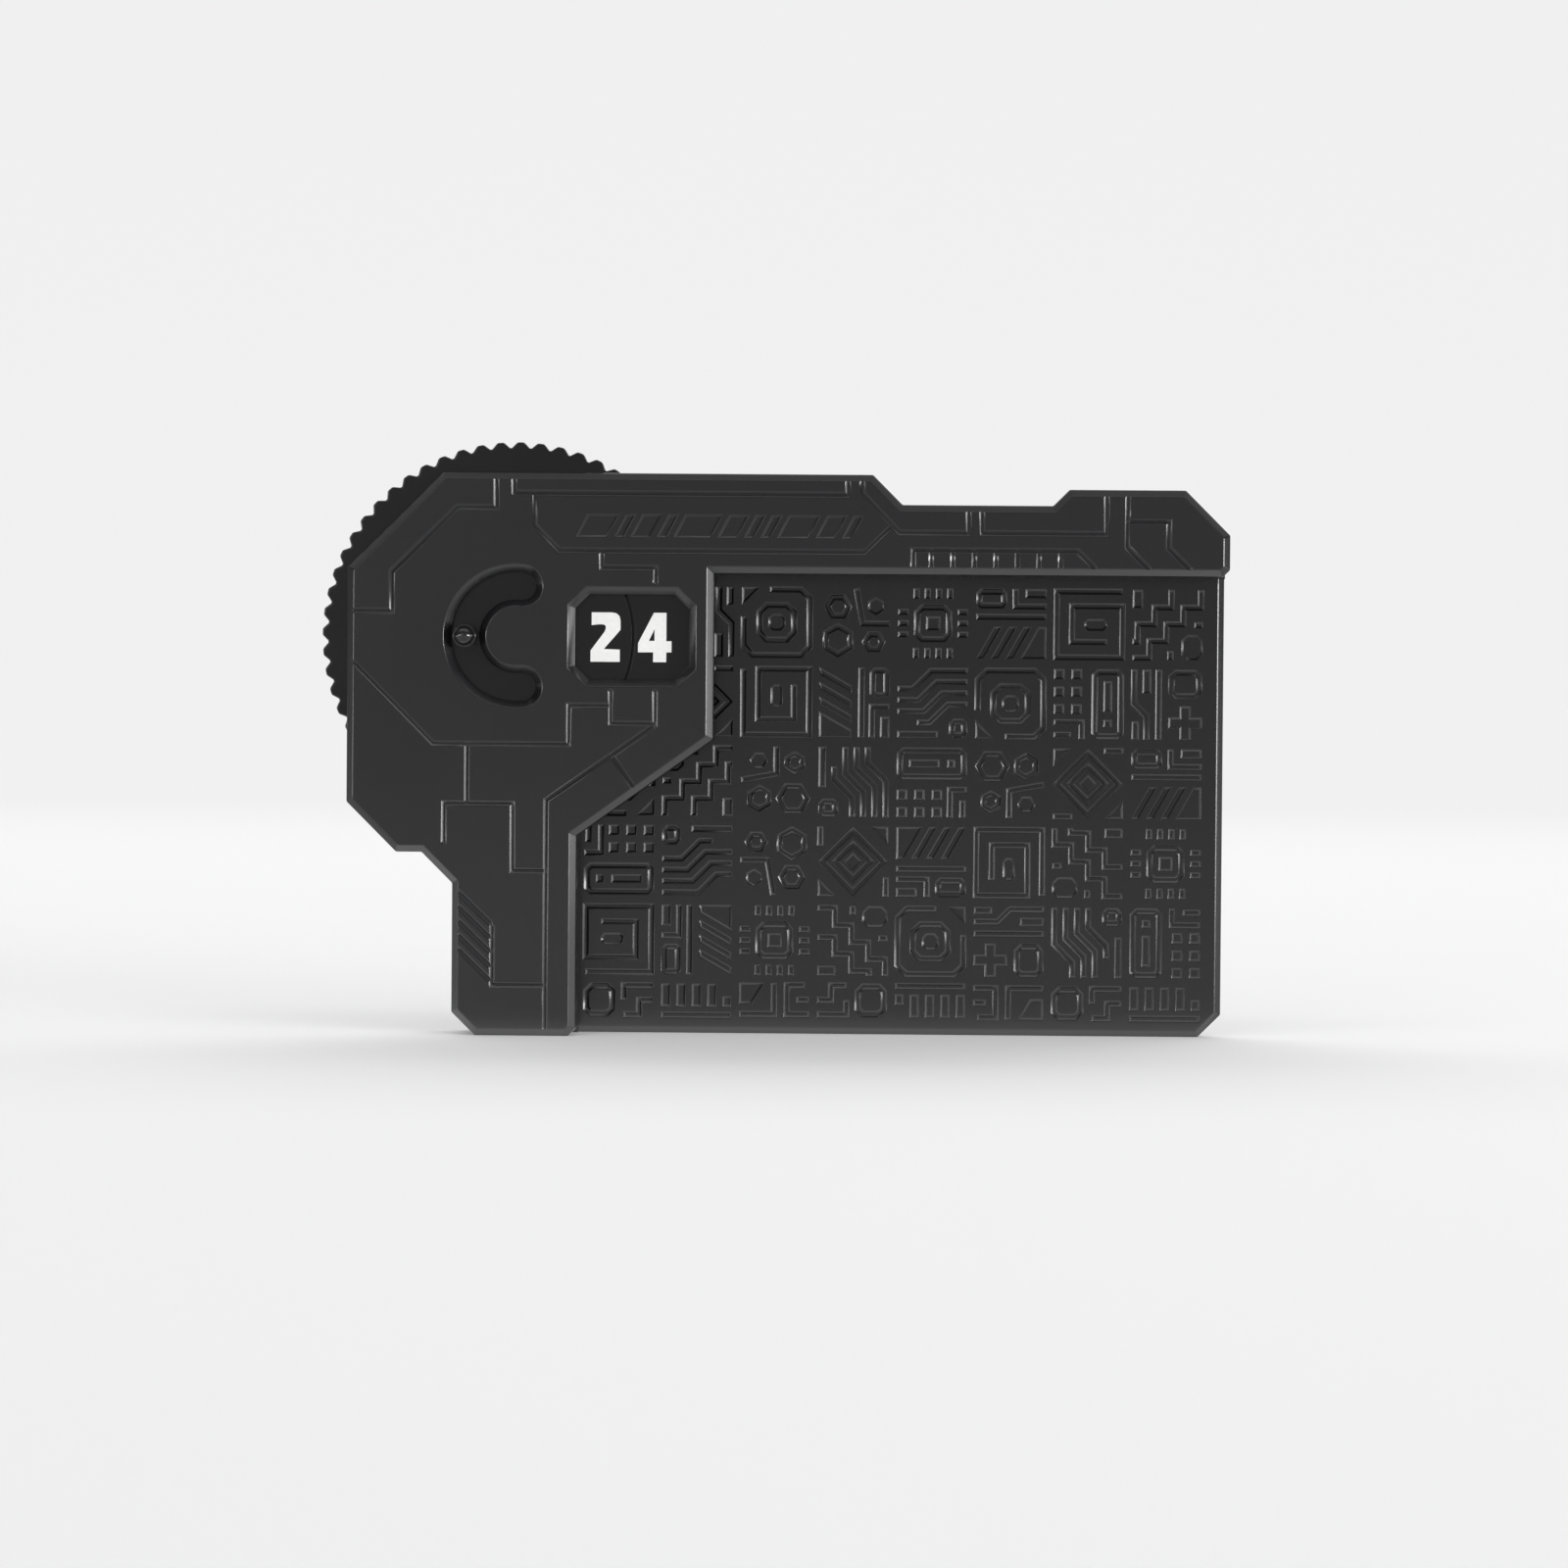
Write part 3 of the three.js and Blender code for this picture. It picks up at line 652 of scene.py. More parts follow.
# %% [markdown]
# The motifs are drawn from the corner of their square. Channels follow paths, pads are filled outlines,
# and rings are closed channels.

# %% Relief motifs
drawings = {
    "spiral": [
        channel((0.3, 0.3), (9.7, 0.3), (9.7, 9.7), (0.3, 9.7), (0.3, 2.4), (7.5, 2.4), (7.5, 7.5),
                (2.5, 7.5)),
        pad(*rectangle(2.5, 4.2, 5.7, 5.9, 0.5)),
    ],
    "chip": [
        ring(*rectangle(2.3, 2.3, 7.7, 7.7, 1)),
        pad(*rectangle(4, 4, 6, 6)),
        *[channel((x, 0), (x, 1.5)) for x in (2.6, 4.2, 5.8, 7.4)],
        *[channel((x, 8.5), (x, 10)) for x in (2.6, 4.2, 5.8, 7.4)],
        *[channel((0, y), (1.5, y)) for y in (3.4, 5, 6.6)],
        *[channel((8.5, y), (10, y)) for y in (3.4, 5, 6.6)],
    ],
    "bus": [
        channel((0, 0.4), (5.2, 0.4), (7.8, 3), (10, 3)),
        channel((0, 2), (4.4, 2), (7, 4.6), (10, 4.6)),
        channel((0, 3.6), (3.6, 3.6), (6.2, 6.2), (10, 6.2)),
        channel((0, 5.2), (2.8, 5.2), (5.4, 7.8), (7.2, 7.8)),
        ring(*rectangle(0, 7.2, 2.6, 10, 0.6)),
        pad(*rectangle(4.2, 9, 10, 10)),
    ],
    "diamond": [
        ring(*polygon(5, 5, 5, 4)),
        ring(*polygon(5, 5, 3.1, 4)),
        pad(*polygon(5, 5, 1.3, 4)),
        pad((0, 0), (2.6, 0), (0, 2.6)),
        pad((10, 10), (7.4, 10), (10, 7.4)),
        channel((0.3, 10), (0.3, 7.2)),
        channel((9.7, 0), (9.7, 2.8)),
    ],
    "hexagons": [
        ring(*polygon(2.5, 7.4, 2.5, 6)),
        ring(*polygon(7.3, 7.4, 2, 6, 30)),
        ring(*polygon(2.3, 2.3, 1.7, 6, 30)),
        pad(*polygon(7.4, 2, 1.3, 6)),
        channel((4.9, 0), (4.9, 3.9), (9.9, 4.8)),
    ],
    "pads": [
        *[pad(*rectangle(x, y, x + 1.5, y + 1.5)) for x in (0, 2.5, 5) for y in (0, 2.5)],
        channel((7.6, 0), (7.6, 4), (10, 4)),
        channel((9.4, 0), (9.4, 2.5)),
        ring(*rectangle(0, 5.4, 10, 10, 0.8)),
        pad(*rectangle(1.7, 7.1, 6.1, 8.3)),
        pad(*rectangle(7.2, 7.1, 8.3, 8.3)),
    ],
    "plus": [
        pad((1.6, 0), (3.2, 0), (3.2, 1.6), (4.8, 1.6), (4.8, 3.2), (3.2, 3.2), (3.2, 4.8), (1.6, 4.8),
            (1.6, 3.2), (0, 3.2), (0, 1.6), (1.6, 1.6)),
        ring(*rectangle(5.8, 0, 10, 4.8, 0.9)),
        channel((0, 6.2), (10, 6.2)),
        channel((0, 7.9), (3.4, 7.9), (5.2, 9.7), (10, 9.7)),
        pad(*rectangle(0, 9, 2.6, 10)),
        pad(*rectangle(6.6, 7.3, 10, 8.5)),
    ],
    "stairs": [
        channel((0.3, 10), (0.3, 7.6), (2.7, 7.6), (2.7, 5.2), (5.1, 5.2), (5.1, 2.8), (7.5, 2.8),
                (7.5, 0.3), (10, 0.3)),
        channel((2.6, 10), (2.6, 9.3), (5.1, 9.3), (5.1, 6.9), (7.5, 6.9), (7.5, 4.5), (10, 4.5)),
        pad(*rectangle(0, 0, 3.6, 3, 0.8)),
        pad(*rectangle(7.4, 8.6, 10, 10)),
        channel((0, 4.6), (1.3, 4.6)),
        channel((5, 0), (5, 1.2)),
    ],
    "slants": [
        *[pad((x, 0), (x + 1.1, 0), (x + 3.7, 4.6), (x + 2.6, 4.6)) for x in (0, 2.1, 4.2)],
        pad((6.3, 0), (10, 0), (10, 4.6), (8.9, 4.6)),
        channel((0, 6), (10, 6)),
        ring(*rectangle(0, 7.2, 4.4, 10, 0.6)),
        channel((5.6, 10), (5.6, 7.5), (10, 7.5)),
        pad(*rectangle(7, 8.7, 10, 10)),
    ],
    "frames": [
        channel((6, 0.3), (1.6, 0.3), (0.3, 1.6), (0.3, 8.4), (1.6, 9.7), (8.4, 9.7), (9.7, 8.4), (9.7, 4.2)),
        ring(*rectangle(2.1, 2.1, 7.9, 7.9, 1.3)),
        pad(*rectangle(3.8, 3.8, 6.2, 6.2, 0.6)),
        pad((7.4, 0), (10, 0), (10, 2.6)),
    ],
}
motifs = {name: motif(name, parts) for name, parts in drawings.items()}
print("motifs:", {name: len(shape.data.polygons) for name, shape in motifs.items()})

# %% [markdown]
# The bottom of the bed has a lower row of small blocks. They are drawn in a square 10 mm wide and 5 mm
# high.

# %% Low relief motifs
low_drawings = {
    "teeth": [
        channel((0, 0.3), (10, 0.3)),
        *[pad(*rectangle(x, 1.5, x + 1.3, 4.8)) for x in (0, 2.2, 4.4, 6.6)],
        pad(*rectangle(8.8, 1.5, 10, 3)),
    ],
    "hooks": [
        channel((0, 4.5), (3.2, 4.5), (3.2, 0.3), (0.6, 0.3)),
        channel((0, 2.4), (1.8, 2.4)),
        channel((5, 0), (5, 4.5), (10, 4.5)),
        pad((6.4, 0), (10, 0), (10, 3), (8.2, 3)),
    ],
    "steps": [
        ring(*rectangle(0, 0, 4.6, 4.8, 1)),
        channel((5.8, 0.3), (8, 0.3), (8, 2.4), (10, 2.4)),
        channel((5.8, 2.4), (5.8, 4.5), (10, 4.5)),
    ],
}
low_motifs = {name: motif(name, parts) for name, parts in low_drawings.items()}
print("low motifs:", list(low_motifs))

# %% [markdown]
# Each copy gets its own mesh, is turned in quarter turns about the middle of its square, and is moved to
# its cell. The face of the plate is divided along the gaps between the cells, which keeps each of its faces
# simple. All copies are joined, and one boolean sinks them into the plate. Then the lips of the pattern
# are rounded a little, so that each line catches the light as it does in the photo.

# %% Lay out the relief
BED_LEFT, BED_FOOT = 9.45, -54.1
CELL = (11.15, 11.36)
SQUARE = 10.0
LOW_ROW = 6.1
ROWS = [         # from the foot up; each cell is a motif and its number of quarter turns
    "spiral0 slants1 chip0 stairs2 frames1 plus0 bus3 pads1",
    "pads2 bus0 hexagons3 diamond0 slants2 spiral1 stairs0 chip0",
    "frames0 stairs3 hexagons2 bus1 pads0 hexagons0 diamond1 slants0",
    "chip0 diamond1 spiral3 slants3 bus2 frames3 pads3 plus1",
    "bus1 plus3 frames2 hexagons1 chip0 slants0 spiral2 stairs1",
]
LOW = ["steps0", "teeth0", "hooks2", "steps2", "teeth2", "hooks0", "steps0", "teeth0"]

copies = []


def lay(shape, turns, left, foot, high):
    """Puts a turned copy of a motif into a cell of the bed."""
    tile = own_copy(shape)
    middle = Vector((SQUARE / 2, high / 2, 0))
    turn = Matrix.Rotation(turns * math.pi / 2, 4, "Z")
    place = Matrix.Translation((left, foot, -PLATE_FRONT)) @ Matrix.Translation(middle) @ turn
    tile.data.transform(place @ Matrix.Translation(-middle))
    copies.append(tile)


for row, cells in enumerate(ROWS):
    for column, cell in enumerate(cells.split()):
        lay(motifs[cell[:-1]], int(cell[-1]), BED_LEFT + column * CELL[0],
            BED_FOOT + LOW_ROW + row * CELL[1], SQUARE)
for column, cell in enumerate(LOW):
    lay(low_motifs[cell[:-1]], int(cell[-1]), BED_LEFT + column * CELL[0], BED_FOOT, SQUARE / 2)
for shape in [*motifs.values(), *low_motifs.values()]:
    bpy.data.objects.remove(shape)

edit(plate)
for column in range(len(LOW) + 1):
    across = BED_LEFT + column * CELL[0] - (CELL[0] - SQUARE) / 2
    select_all()
    bpy.ops.mesh.bisect(plane_co=(across, 0, 0), plane_no=(1, 0, 0))
for row in range(len(ROWS) + 1):
    above = BED_FOOT + LOW_ROW + row * CELL[1] - (CELL[1] - SQUARE) / 2
    select_all()
    bpy.ops.mesh.bisect(plane_co=(0, above, 0), plane_no=(0, 1, 0))
leave_edit()
cut(plate, joined(copies))
clear_slivers(plate, -PLATE_FRONT)
pick(plate, "edges", lambda edge: level(edge, -PLATE_FRONT) and bends(edge, RELIEF_BEND)
     and edge.verts[0].co.x > BED_LEFT - RELIEF_LIP)
bevel(RELIEF_LIP, segments=2)
leave_edit()
print("cells:", len(copies), "plate faces:", len(plate.data.polygons))

# %% [markdown]
# ## Units dial
#
# The large dial has sixty blunt teeth for the thumb. Its outline is drawn tooth by tooth, extruded, and
# bevelled: first the standing edges of the teeth, then the front and back rims. The tens disc lies in a
# round nest in its face, and its back is hollow with ten notches for the spring.

# %% Units dial
DIAL_BACK = 5.0
TIP_RADIUS = 27.45
ROOT_RADIUS = 26.65
TOOTH_TIP = 0.9
TEETH = 60
FIRST_TOOTH = math.radians(5)
NEST_RADIUS = 16.806
NEST_FLOOR = 3.4
AXLE_HOLE = 2.3
TOOTH_ROUND = 0.18
RIM_ROUND = 0.3
NEST_ROUND = 0.07
RADIUS_NEAR = 0.1

tip_half = TOOTH_TIP / 2 / TIP_RADIUS
root_half = (TOOTH_TIP / 2 + TIP_RADIUS - ROOT_RADIUS) / ROOT_RADIUS
tooth_outline = []
for tooth in range(TEETH):
    middle = FIRST_TOOTH + tooth * 2 * math.pi / TEETH
    for radius, angle in ((ROOT_RADIUS, -root_half), (TIP_RADIUS, -tip_half), (TIP_RADIUS, tip_half),
                          (ROOT_RADIUS, root_half)):
        tooth_outline.append(around(radius, middle + angle))

units = prism("units_dial_moulding", tooth_outline, DIAL_FRONT, DIAL_BACK)
bevel_edges(units, lambda edge: upright(edge) and edge.verts[0].co.xy.length > TIP_RADIUS - RADIUS_NEAR,
            TOOTH_ROUND, segments=2)
bevel_edges(units, lambda edge: not upright(edge), RIM_ROUND, segments=2)
cut(units, disc("nest", NEST_RADIUS, DIAL_FRONT - OVER, NEST_FLOOR, sides=ROUND_SIDES))
cut(units, disc("axle_hole", AXLE_HOLE, 0, DIAL_BACK + OVER, sides=48))
bevel_edges(units, lambda edge: level(edge, -DIAL_FRONT) and bends(edge, SQUARE_BEND)
            and abs(edge.verts[0].co.xy.length - NEST_RADIUS) < RADIUS_NEAR, NEST_ROUND, segments=2)
print("units dial faces:", len(units.data.polygons))

# %% [markdown]
# The back of the dial is cut with a ring shaped cutter: a disc with ten small discs joined on for the
# notches, and with its middle left standing for the hub.

# %% Units dial, back
RECESS_FLOOR = 4.1
RECESS_RADIUS = 22.4
HUB_RADIUS = 8.0
NOTCH_RADIUS = 0.9
FIRST_NOTCH = math.radians(216)
NOTCHES = 10

recess = disc("recess", RECESS_RADIUS, RECESS_FLOOR, DIAL_BACK + OVER, sides=120)
for click in range(NOTCHES):
    spot = around(RECESS_RADIUS, FIRST_NOTCH + click * 2 * math.pi / NOTCHES)
    cut(recess, disc("notch", NOTCH_RADIUS, RECESS_FLOOR, DIAL_BACK + OVER, spot, sides=24), "UNION")
cut(recess, disc("hub", HUB_RADIUS, 0, DIAL_BACK + 2 * OVER, sides=72))
cut(units, recess)
print("units dial faces with its back:", len(units.data.polygons))

# %% [markdown]
# ## Tens dial
#
# The small disc fills the nest and is level with the face around it. Its rim has a small radius, so a
# dark ring with two fine bright lines shows between the two dials. A spring clicks in five notches in
# its back.

# %% Tens dial
TENS_RADIUS = 16.406
TENS_BACK = 3.1
CLICK_FLOOR = 2.4
CLICK_RADIUS = 5.0
CLICK_NOTCH = 0.5
TENS_ROUND = 0.098
SOCKET_RADIUS, SOCKET_DEPTH = 1.3, 0.8
PEG_PLACE = (-SLOT_RADIUS, 0)
CLICK_ANGLE = math.radians(48)
CLICKS = 5

tens = disc("tens_dial_moulding", TENS_RADIUS, DIAL_FRONT, TENS_BACK, sides=ROUND_SIDES)
bevel_edges(tens, lambda edge: level(edge, -DIAL_FRONT), TENS_ROUND, segments=2)
cut(tens, disc("axle_hole", AXLE_HOLE, 0, DIAL_BACK, sides=48))
cut(tens, disc("peg_socket", SOCKET_RADIUS, 0, DIAL_FRONT + SOCKET_DEPTH, PEG_PLACE, sides=32))
clicks = disc("click_recess", CLICK_RADIUS, CLICK_FLOOR, DIAL_BACK, sides=64)
for click in range(CLICKS):
    spot = around(CLICK_RADIUS, math.pi + (click - CLICKS // 2) * CLICK_ANGLE)
    cut(clicks, disc("notch", CLICK_NOTCH, CLICK_FLOOR, DIAL_BACK, spot, sides=20), "UNION")
cut(tens, clicks)
print("tens dial faces:", len(tens.data.polygons))

# %% [markdown]
# ## Numbers
#
# White numbers are pad printed on both dials. A print has almost no thickness, so each number is an
# outline, filled around its open parts and extruded by 0.03 mm. Every number stands upright when it
# reaches the window, so it is turned by its own angle on the dial.

# %% Number outlines
PRINT = 0.03                  # thickness of the print above the dial face
PRINT_SUNK = PRINT / 3        # how far it reaches into the dial
NUMBER_HEIGHT = 7.0
UNITS_MIDDLE, UNITS_STEP, UNITS_SHOWN = 19.605, math.radians(36), 4
TENS_MIDDLE, TENS_STEP, TENS_SHOWN = 12.635, CLICK_ANGLE, 2
SIX = [(1.1, 7), (4, 7), (4, 5.35), (2.1, 5.35), (1.85, 5.1), (1.85, 4.4), (3.3, 4.4), (4.1, 4),
       (4.3, 3.4), (4.3, 1), (4, 0.35), (3.3, 0), (1, 0), (0.3, 0.35), (0, 1), (0, 6), (0.3, 6.7)]
SIX_HOLE = [(1.85, 1.6), (2.45, 1.6), (2.45, 2.9), (1.85, 2.9)]
NUMBERS = {
    0: [[(1, 0), (3.4, 0), (4.1, 0.35), (4.4, 1), (4.4, 6), (4.1, 6.65), (3.4, 7), (1, 7),
         (0.3, 6.65), (0, 6), (0, 1), (0.3, 0.35)],
        [(1.85, 1.85), (2.05, 1.6), (2.35, 1.6), (2.55, 1.85), (2.55, 5.15), (2.35, 5.4), (2.05, 5.4),
         (1.85, 5.15)]],
    1: [[(0.5, 0), (4.1, 0), (4.1, 1.6), (3.25, 1.6), (3.25, 7), (1.65, 7), (0.1, 5.9), (0.1, 4.3),
         (1.4, 5.1), (1.4, 1.6), (0.5, 1.6)]],
    2: [[(0.14, 6.98), (2.98, 6.98), (3.6, 6.88), (4.05, 6.5), (4.22, 5.9), (4.22, 4.53), (1.88, 1.81),
         (4.14, 1.74), (4.14, 0), (0, 0), (0, 1.59), (2, 4.3), (2.15, 4.75), (2.12, 5.1), (1.85, 5.27),
         (1.3, 5.3), (0.14, 5.17)]],
    3: [[(0.14, 6.98), (3.2, 6.98), (4, 6.65), (4.3, 6), (4.3, 4.35), (3.75, 3.6), (4.3, 2.85),
         (4.3, 1), (4, 0.35), (3.2, 0), (0.14, 0), (0.14, 1.65), (2.2, 1.65), (2.45, 1.9), (2.45, 2.6),
         (2.2, 2.85), (0.9, 2.85), (0.9, 4.3), (2.2, 4.3), (2.45, 4.55), (2.45, 5.1), (2.2, 5.35),
         (0.14, 5.35)]],
    4: [[(2.23, 6.98), (4, 6.98), (4, 2.97), (4.74, 2.97), (4.74, 1.38), (4, 1.38), (4, 0),
         (2.15, 0), (2.15, 1.38), (0, 1.38), (0, 2.67)],
        [(1.54, 3), (2.32, 3), (2.32, 4.67)]],
    5: [[(0.2, 7), (4.1, 7), (4.1, 5.4), (1.95, 5.4), (1.95, 4.5), (3.2, 4.5), (4, 4.15), (4.3, 3.5),
         (4.3, 1), (4, 0.35), (3.2, 0), (0.14, 0), (0.14, 1.65), (2.2, 1.65), (2.45, 1.9), (2.45, 2.65),
         (2.2, 2.9), (0.2, 2.9)]],
    6: [SIX, SIX_HOLE],
    7: [[(0.1, 7), (4.3, 7), (4.3, 5.3), (2.7, 0), (0.75, 0), (2.3, 5.25), (0.1, 5.25)]],
    8: [[(1, 0), (3.4, 0), (4.1, 0.35), (4.4, 1), (4.4, 2.9), (3.95, 3.55), (4.4, 4.2), (4.4, 6),
         (4.1, 6.65), (3.4, 7), (1, 7), (0.3, 6.65), (0, 6), (0, 4.2), (0.45, 3.55), (0, 2.9),
         (0, 1), (0.3, 0.35)],
        [(1.85, 1.6), (2.55, 1.6), (2.55, 2.8), (1.85, 2.8)],
        [(1.85, 4.3), (2.55, 4.3), (2.55, 5.4), (1.85, 5.4)]],
    9: [[(4.3 - x, 7.0 - y) for x, y in SIX], [(4.3 - x, 7.0 - y) for x, y in SIX_HOLE]],
}


def number_at(value, middle, angle):
    """Prints a number on the dial face, with its middle at a radius and turned by its angle."""
    loops = NUMBERS[value]
    width = max(x for x, _ in loops[0])
    outlines = []
    for loop in loops:
        spots = []
        for x, y in loop:
            spot = Vector((x - width / 2 + middle, y - NUMBER_HEIGHT / 2, 0))
            spot.rotate(Matrix.Rotation(angle, 3, "Z"))
            spots.append((spot.x, spot.y))
        outlines.append(prism("number", spots, DIAL_FRONT - PRINT, DIAL_FRONT + PRINT_SUNK))
    for hole in outlines[1:]:
        hole.scale.z = 2 * OVER / PRINT
        hole.location.z = DIAL_FRONT * (hole.scale.z - 1)
        cut(outlines[0], hole)
    return outlines[0]


def printed(name, values, middle, step, shown):
    """Prints a ring of numbers, with the one that the photograph shows at the window."""
    piece = joined([number_at(value, middle, -step * (value - shown)) for value in values])
    piece.name = name
    return piece


units_print = printed("units_numbers", range(10), UNITS_MIDDLE, UNITS_STEP, UNITS_SHOWN)
tens_print = printed("tens_numbers", range(5), TENS_MIDDLE, TENS_STEP, TENS_SHOWN)
print("printed numbers:", len(units_print.data.polygons), len(tens_print.data.polygons))

# %% [markdown]
# ## Peg
#
# The peg is a polished round pin with a collar and a domed head, pressed into the tens disc. The head could
# be a ball that is joined on. Here the top of a cylinder is inset and extruded, and bevelled with many
# segments until it is a half ball, so the pin stays one clean mesh. Its foot is extruded into the stem.

# %% Peg
PEG_RADIUS = 1.65
PEG_TOP = 1.7
PEG_STEM, STEM_LENGTH = 1.0, 0.5
DOME_STEPS, DOME_FLAT = 14, 0.02      # segments of the dome, and radius of the flat spot left on its top
COLLAR_TOP = 0.3
COLLAR_WIDTH = 0.27
COLLAR_ROUND = 0.12

peg = disc("selector_peg_turned", PEG_RADIUS, -COLLAR_TOP, DIAL_FRONT, PEG_PLACE, sides=64)
edit(peg)
pick_level(peg, 1)
bpy.ops.mesh.inset(thickness=COLLAR_WIDTH)
push(PEG_TOP - COLLAR_TOP)
pick(peg, "edges", lambda edge: level(edge, PEG_TOP))
bevel(PEG_RADIUS - COLLAR_WIDTH - DOME_FLAT, segments=DOME_STEPS)
pick(peg, "edges", lambda edge: level(edge, COLLAR_TOP) and bends(edge, SQUARE_BEND)
     and (edge.verts[0].co.xy - Vector(PEG_PLACE)).length > PEG_RADIUS - NEAR)
bevel(COLLAR_ROUND, segments=3)
pick_level(peg, -1)
bpy.ops.mesh.inset(thickness=PEG_RADIUS - PEG_STEM)
push(-STEM_LENGTH)
leave_edit()
print("peg faces:", len(peg.data.polygons))

# %% [markdown]
# ## Screws and feet
#
# A countersunk screw starts as a thin disc. Its front face is extruded and shrunk to the cone, and once
# more for the shank. A cross with tapered walls is cut into its head. The foot is a rubber disc with a
# rounded rim. Both are modelled once and copied.

# %% Screw
HEAD_FACE = 9.4
SCREW_TIP = 2.2
HEAD_RADIUS, SHANK_RADIUS = 1.8, 0.95
HEAD_RIM, HEAD_CONE, HEAD_ROUND = 0.15, 0.85, 0.09
CROSS_REACH, CROSS_HALF, CROSS_DEPTH, CROSS_TAPER = 1.2, 0.24, 0.5, 0.75

screw = disc("screw", HEAD_RADIUS, HEAD_FACE - HEAD_RIM, HEAD_FACE, sides=48)
edit(screw)
pick_level(screw, 1)
push(HEAD_CONE)
resize(SHANK_RADIUS / HEAD_RADIUS, 1)
push(HEAD_FACE - HEAD_RIM - HEAD_CONE - SCREW_TIP)
leave_edit()
bevel_edges(screw, lambda edge: level(edge, -HEAD_FACE), HEAD_ROUND, segments=3)
for wide, high in ((CROSS_REACH, CROSS_HALF), (CROSS_HALF, CROSS_REACH)):
    arm = block("cross_arm", -wide, wide, -high, high, HEAD_FACE - CROSS_DEPTH, HEAD_FACE + CROSS_DEPTH)
    edit(arm)
    pick_level(arm, 1)
    resize(CROSS_TAPER, 1)
    leave_edit()
    cut(screw, arm)
print("screw faces:", len(screw.data.polygons))

# %% Foot
FOOT_FACE = 10.2
FOOT_ROUND, FOOT_RIM, FOOT_DISH = 0.2, 0.9, 0.08

foot = disc("foot", FOOT_RADIUS, PLATE_BACK - FOOT_SEAT, FOOT_FACE, sides=64)
bevel_edges(foot, lambda edge: level(edge, -FOOT_FACE), FOOT_ROUND, segments=4)
edit(foot)
pick_level(foot, -1)
bpy.ops.mesh.inset(thickness=FOOT_RIM)
push(FOOT_DISH)
leave_edit()
print("foot faces:", len(foot.data.polygons))

# %% [markdown]
# ## Finishes
#
# A material starts from what the real surface is. One helper turns a hex colour into linear light, one
# adds a node with its settings and links, and the others start and end a finish and draw what all of them
# share: a noise of a real size, and values, colours and small bumps that follow it.

# %% Helpers for finishes
MIX_A, MIX_B, MIX_COLOUR = 6, 7, 2       # sockets of a Mix node that mixes colours


def linear(code):
    """Linear colour of an sRGB hex value."""
    channels = [int(code[i:i + 2], 16) / 255 for i in (0, 2, 4)]
    return [c / 12.92 if c <= 0.04045 else ((c + 0.055) / 1.055) ** 2.4 for c in channels] + [1.0]


def add_node(tree, kind, settings=None, links=None):
    """Adds a node, sets its inputs or settings and links its inputs."""
    node = tree.nodes.new(kind)
    for name, value in (settings or {}).items():
        if isinstance(name, str) and hasattr(node, name):
            setattr(node, name, value)
        else:
            node.inputs[name].default_value = value
    for name, source in (links or {}).items():
        tree.links.new(source, node.inputs[name])
    return node


def start_finish(name):
    """New material with an empty node tree."""
    finish = bpy.data.materials.new(name)
    finish.use_nodes = True
    finish.node_tree.nodes.clear()
    return finish, finish.node_tree


def end_finish(tree, settings, links):
    """Adds the surface shader with its constants and links, and the output."""
    shader = add_node(tree, "ShaderNodeBsdfPrincipled", settings, links)
    add_node(tree, "ShaderNodeOutputMaterial", {}, {"Surface": shader.outputs["BSDF"]})


def grain(tree, size_mm, detail=2, stretch=None):
    """Noise whose spots are about size_mm wide, on the piece's own coordinates."""
    place = add_node(tree, "ShaderNodeTexCoord").outputs["Object"]
    if stretch:
        place = add_node(tree, "ShaderNodeMapping", {"Scale": stretch}, {"Vector": place}).outputs[0]
    noise = add_node(tree, "ShaderNodeTexNoise", {"Scale": 1000 / size_mm, "Detail": detail},
                     {"Vector": place})
    return noise.outputs["Fac"]


def spread(tree, noise, low, high):
    """Maps a noise of about 0.3 to 0.7 onto a range of values."""
    return add_node(tree, "ShaderNodeMapRange", {1: 0.3, 2: 0.7, 3: low, 4: high}, {0: noise}).outputs[0]


def tones(tree, noise, colour, darker):
    """Colour that drifts between two hex values with a noise."""
    mix = add_node(tree, "ShaderNodeMix", {"data_type": "RGBA", MIX_A: linear(colour), MIX_B: linear(darker)},
                   {0: spread(tree, noise, 0.0, 1.0)})
    return mix.outputs[MIX_COLOUR]


def bumps(tree, noise, strength, height_mm):
    """Bumps of a small height that follow a noise."""
    return add_node(tree, "ShaderNodeBump", {"Strength": strength, "Distance": height_mm * MM},
                    {"Height": noise}).outputs[0]


print("white in linear light:", linear("ffffff"))

# %% [markdown]
# Black ABS, injection moulded against a smooth, very finely blasted tool: the surface has a low satin
# gloss, and a grain of about 0.1 mm breaks its reflections softly. That grain is too fine to show here, so
# it is drawn two to four times as wide. The plate gets a slightly darker colour and less shine than the
# cover. The dials get a still darker colour and less shine: that darker colour is painted shade, standing
# for the shade in the window and the slot where their faces show. A second, slow noise of 14 mm stands
# for the flow of the plastic in the tool and shifts the gloss a little. The carrier inside is plain dark
# grey ABS with a coarser grain.

# %% Moulded plastics
ABS_IOR = 1.53
FLOW_MM = 14.0            # width of the slow drift in the gloss
GRAIN_HEIGHT = 0.02
GRAIN_GLOSS = 0.015       # how far the fine grain shifts the roughness


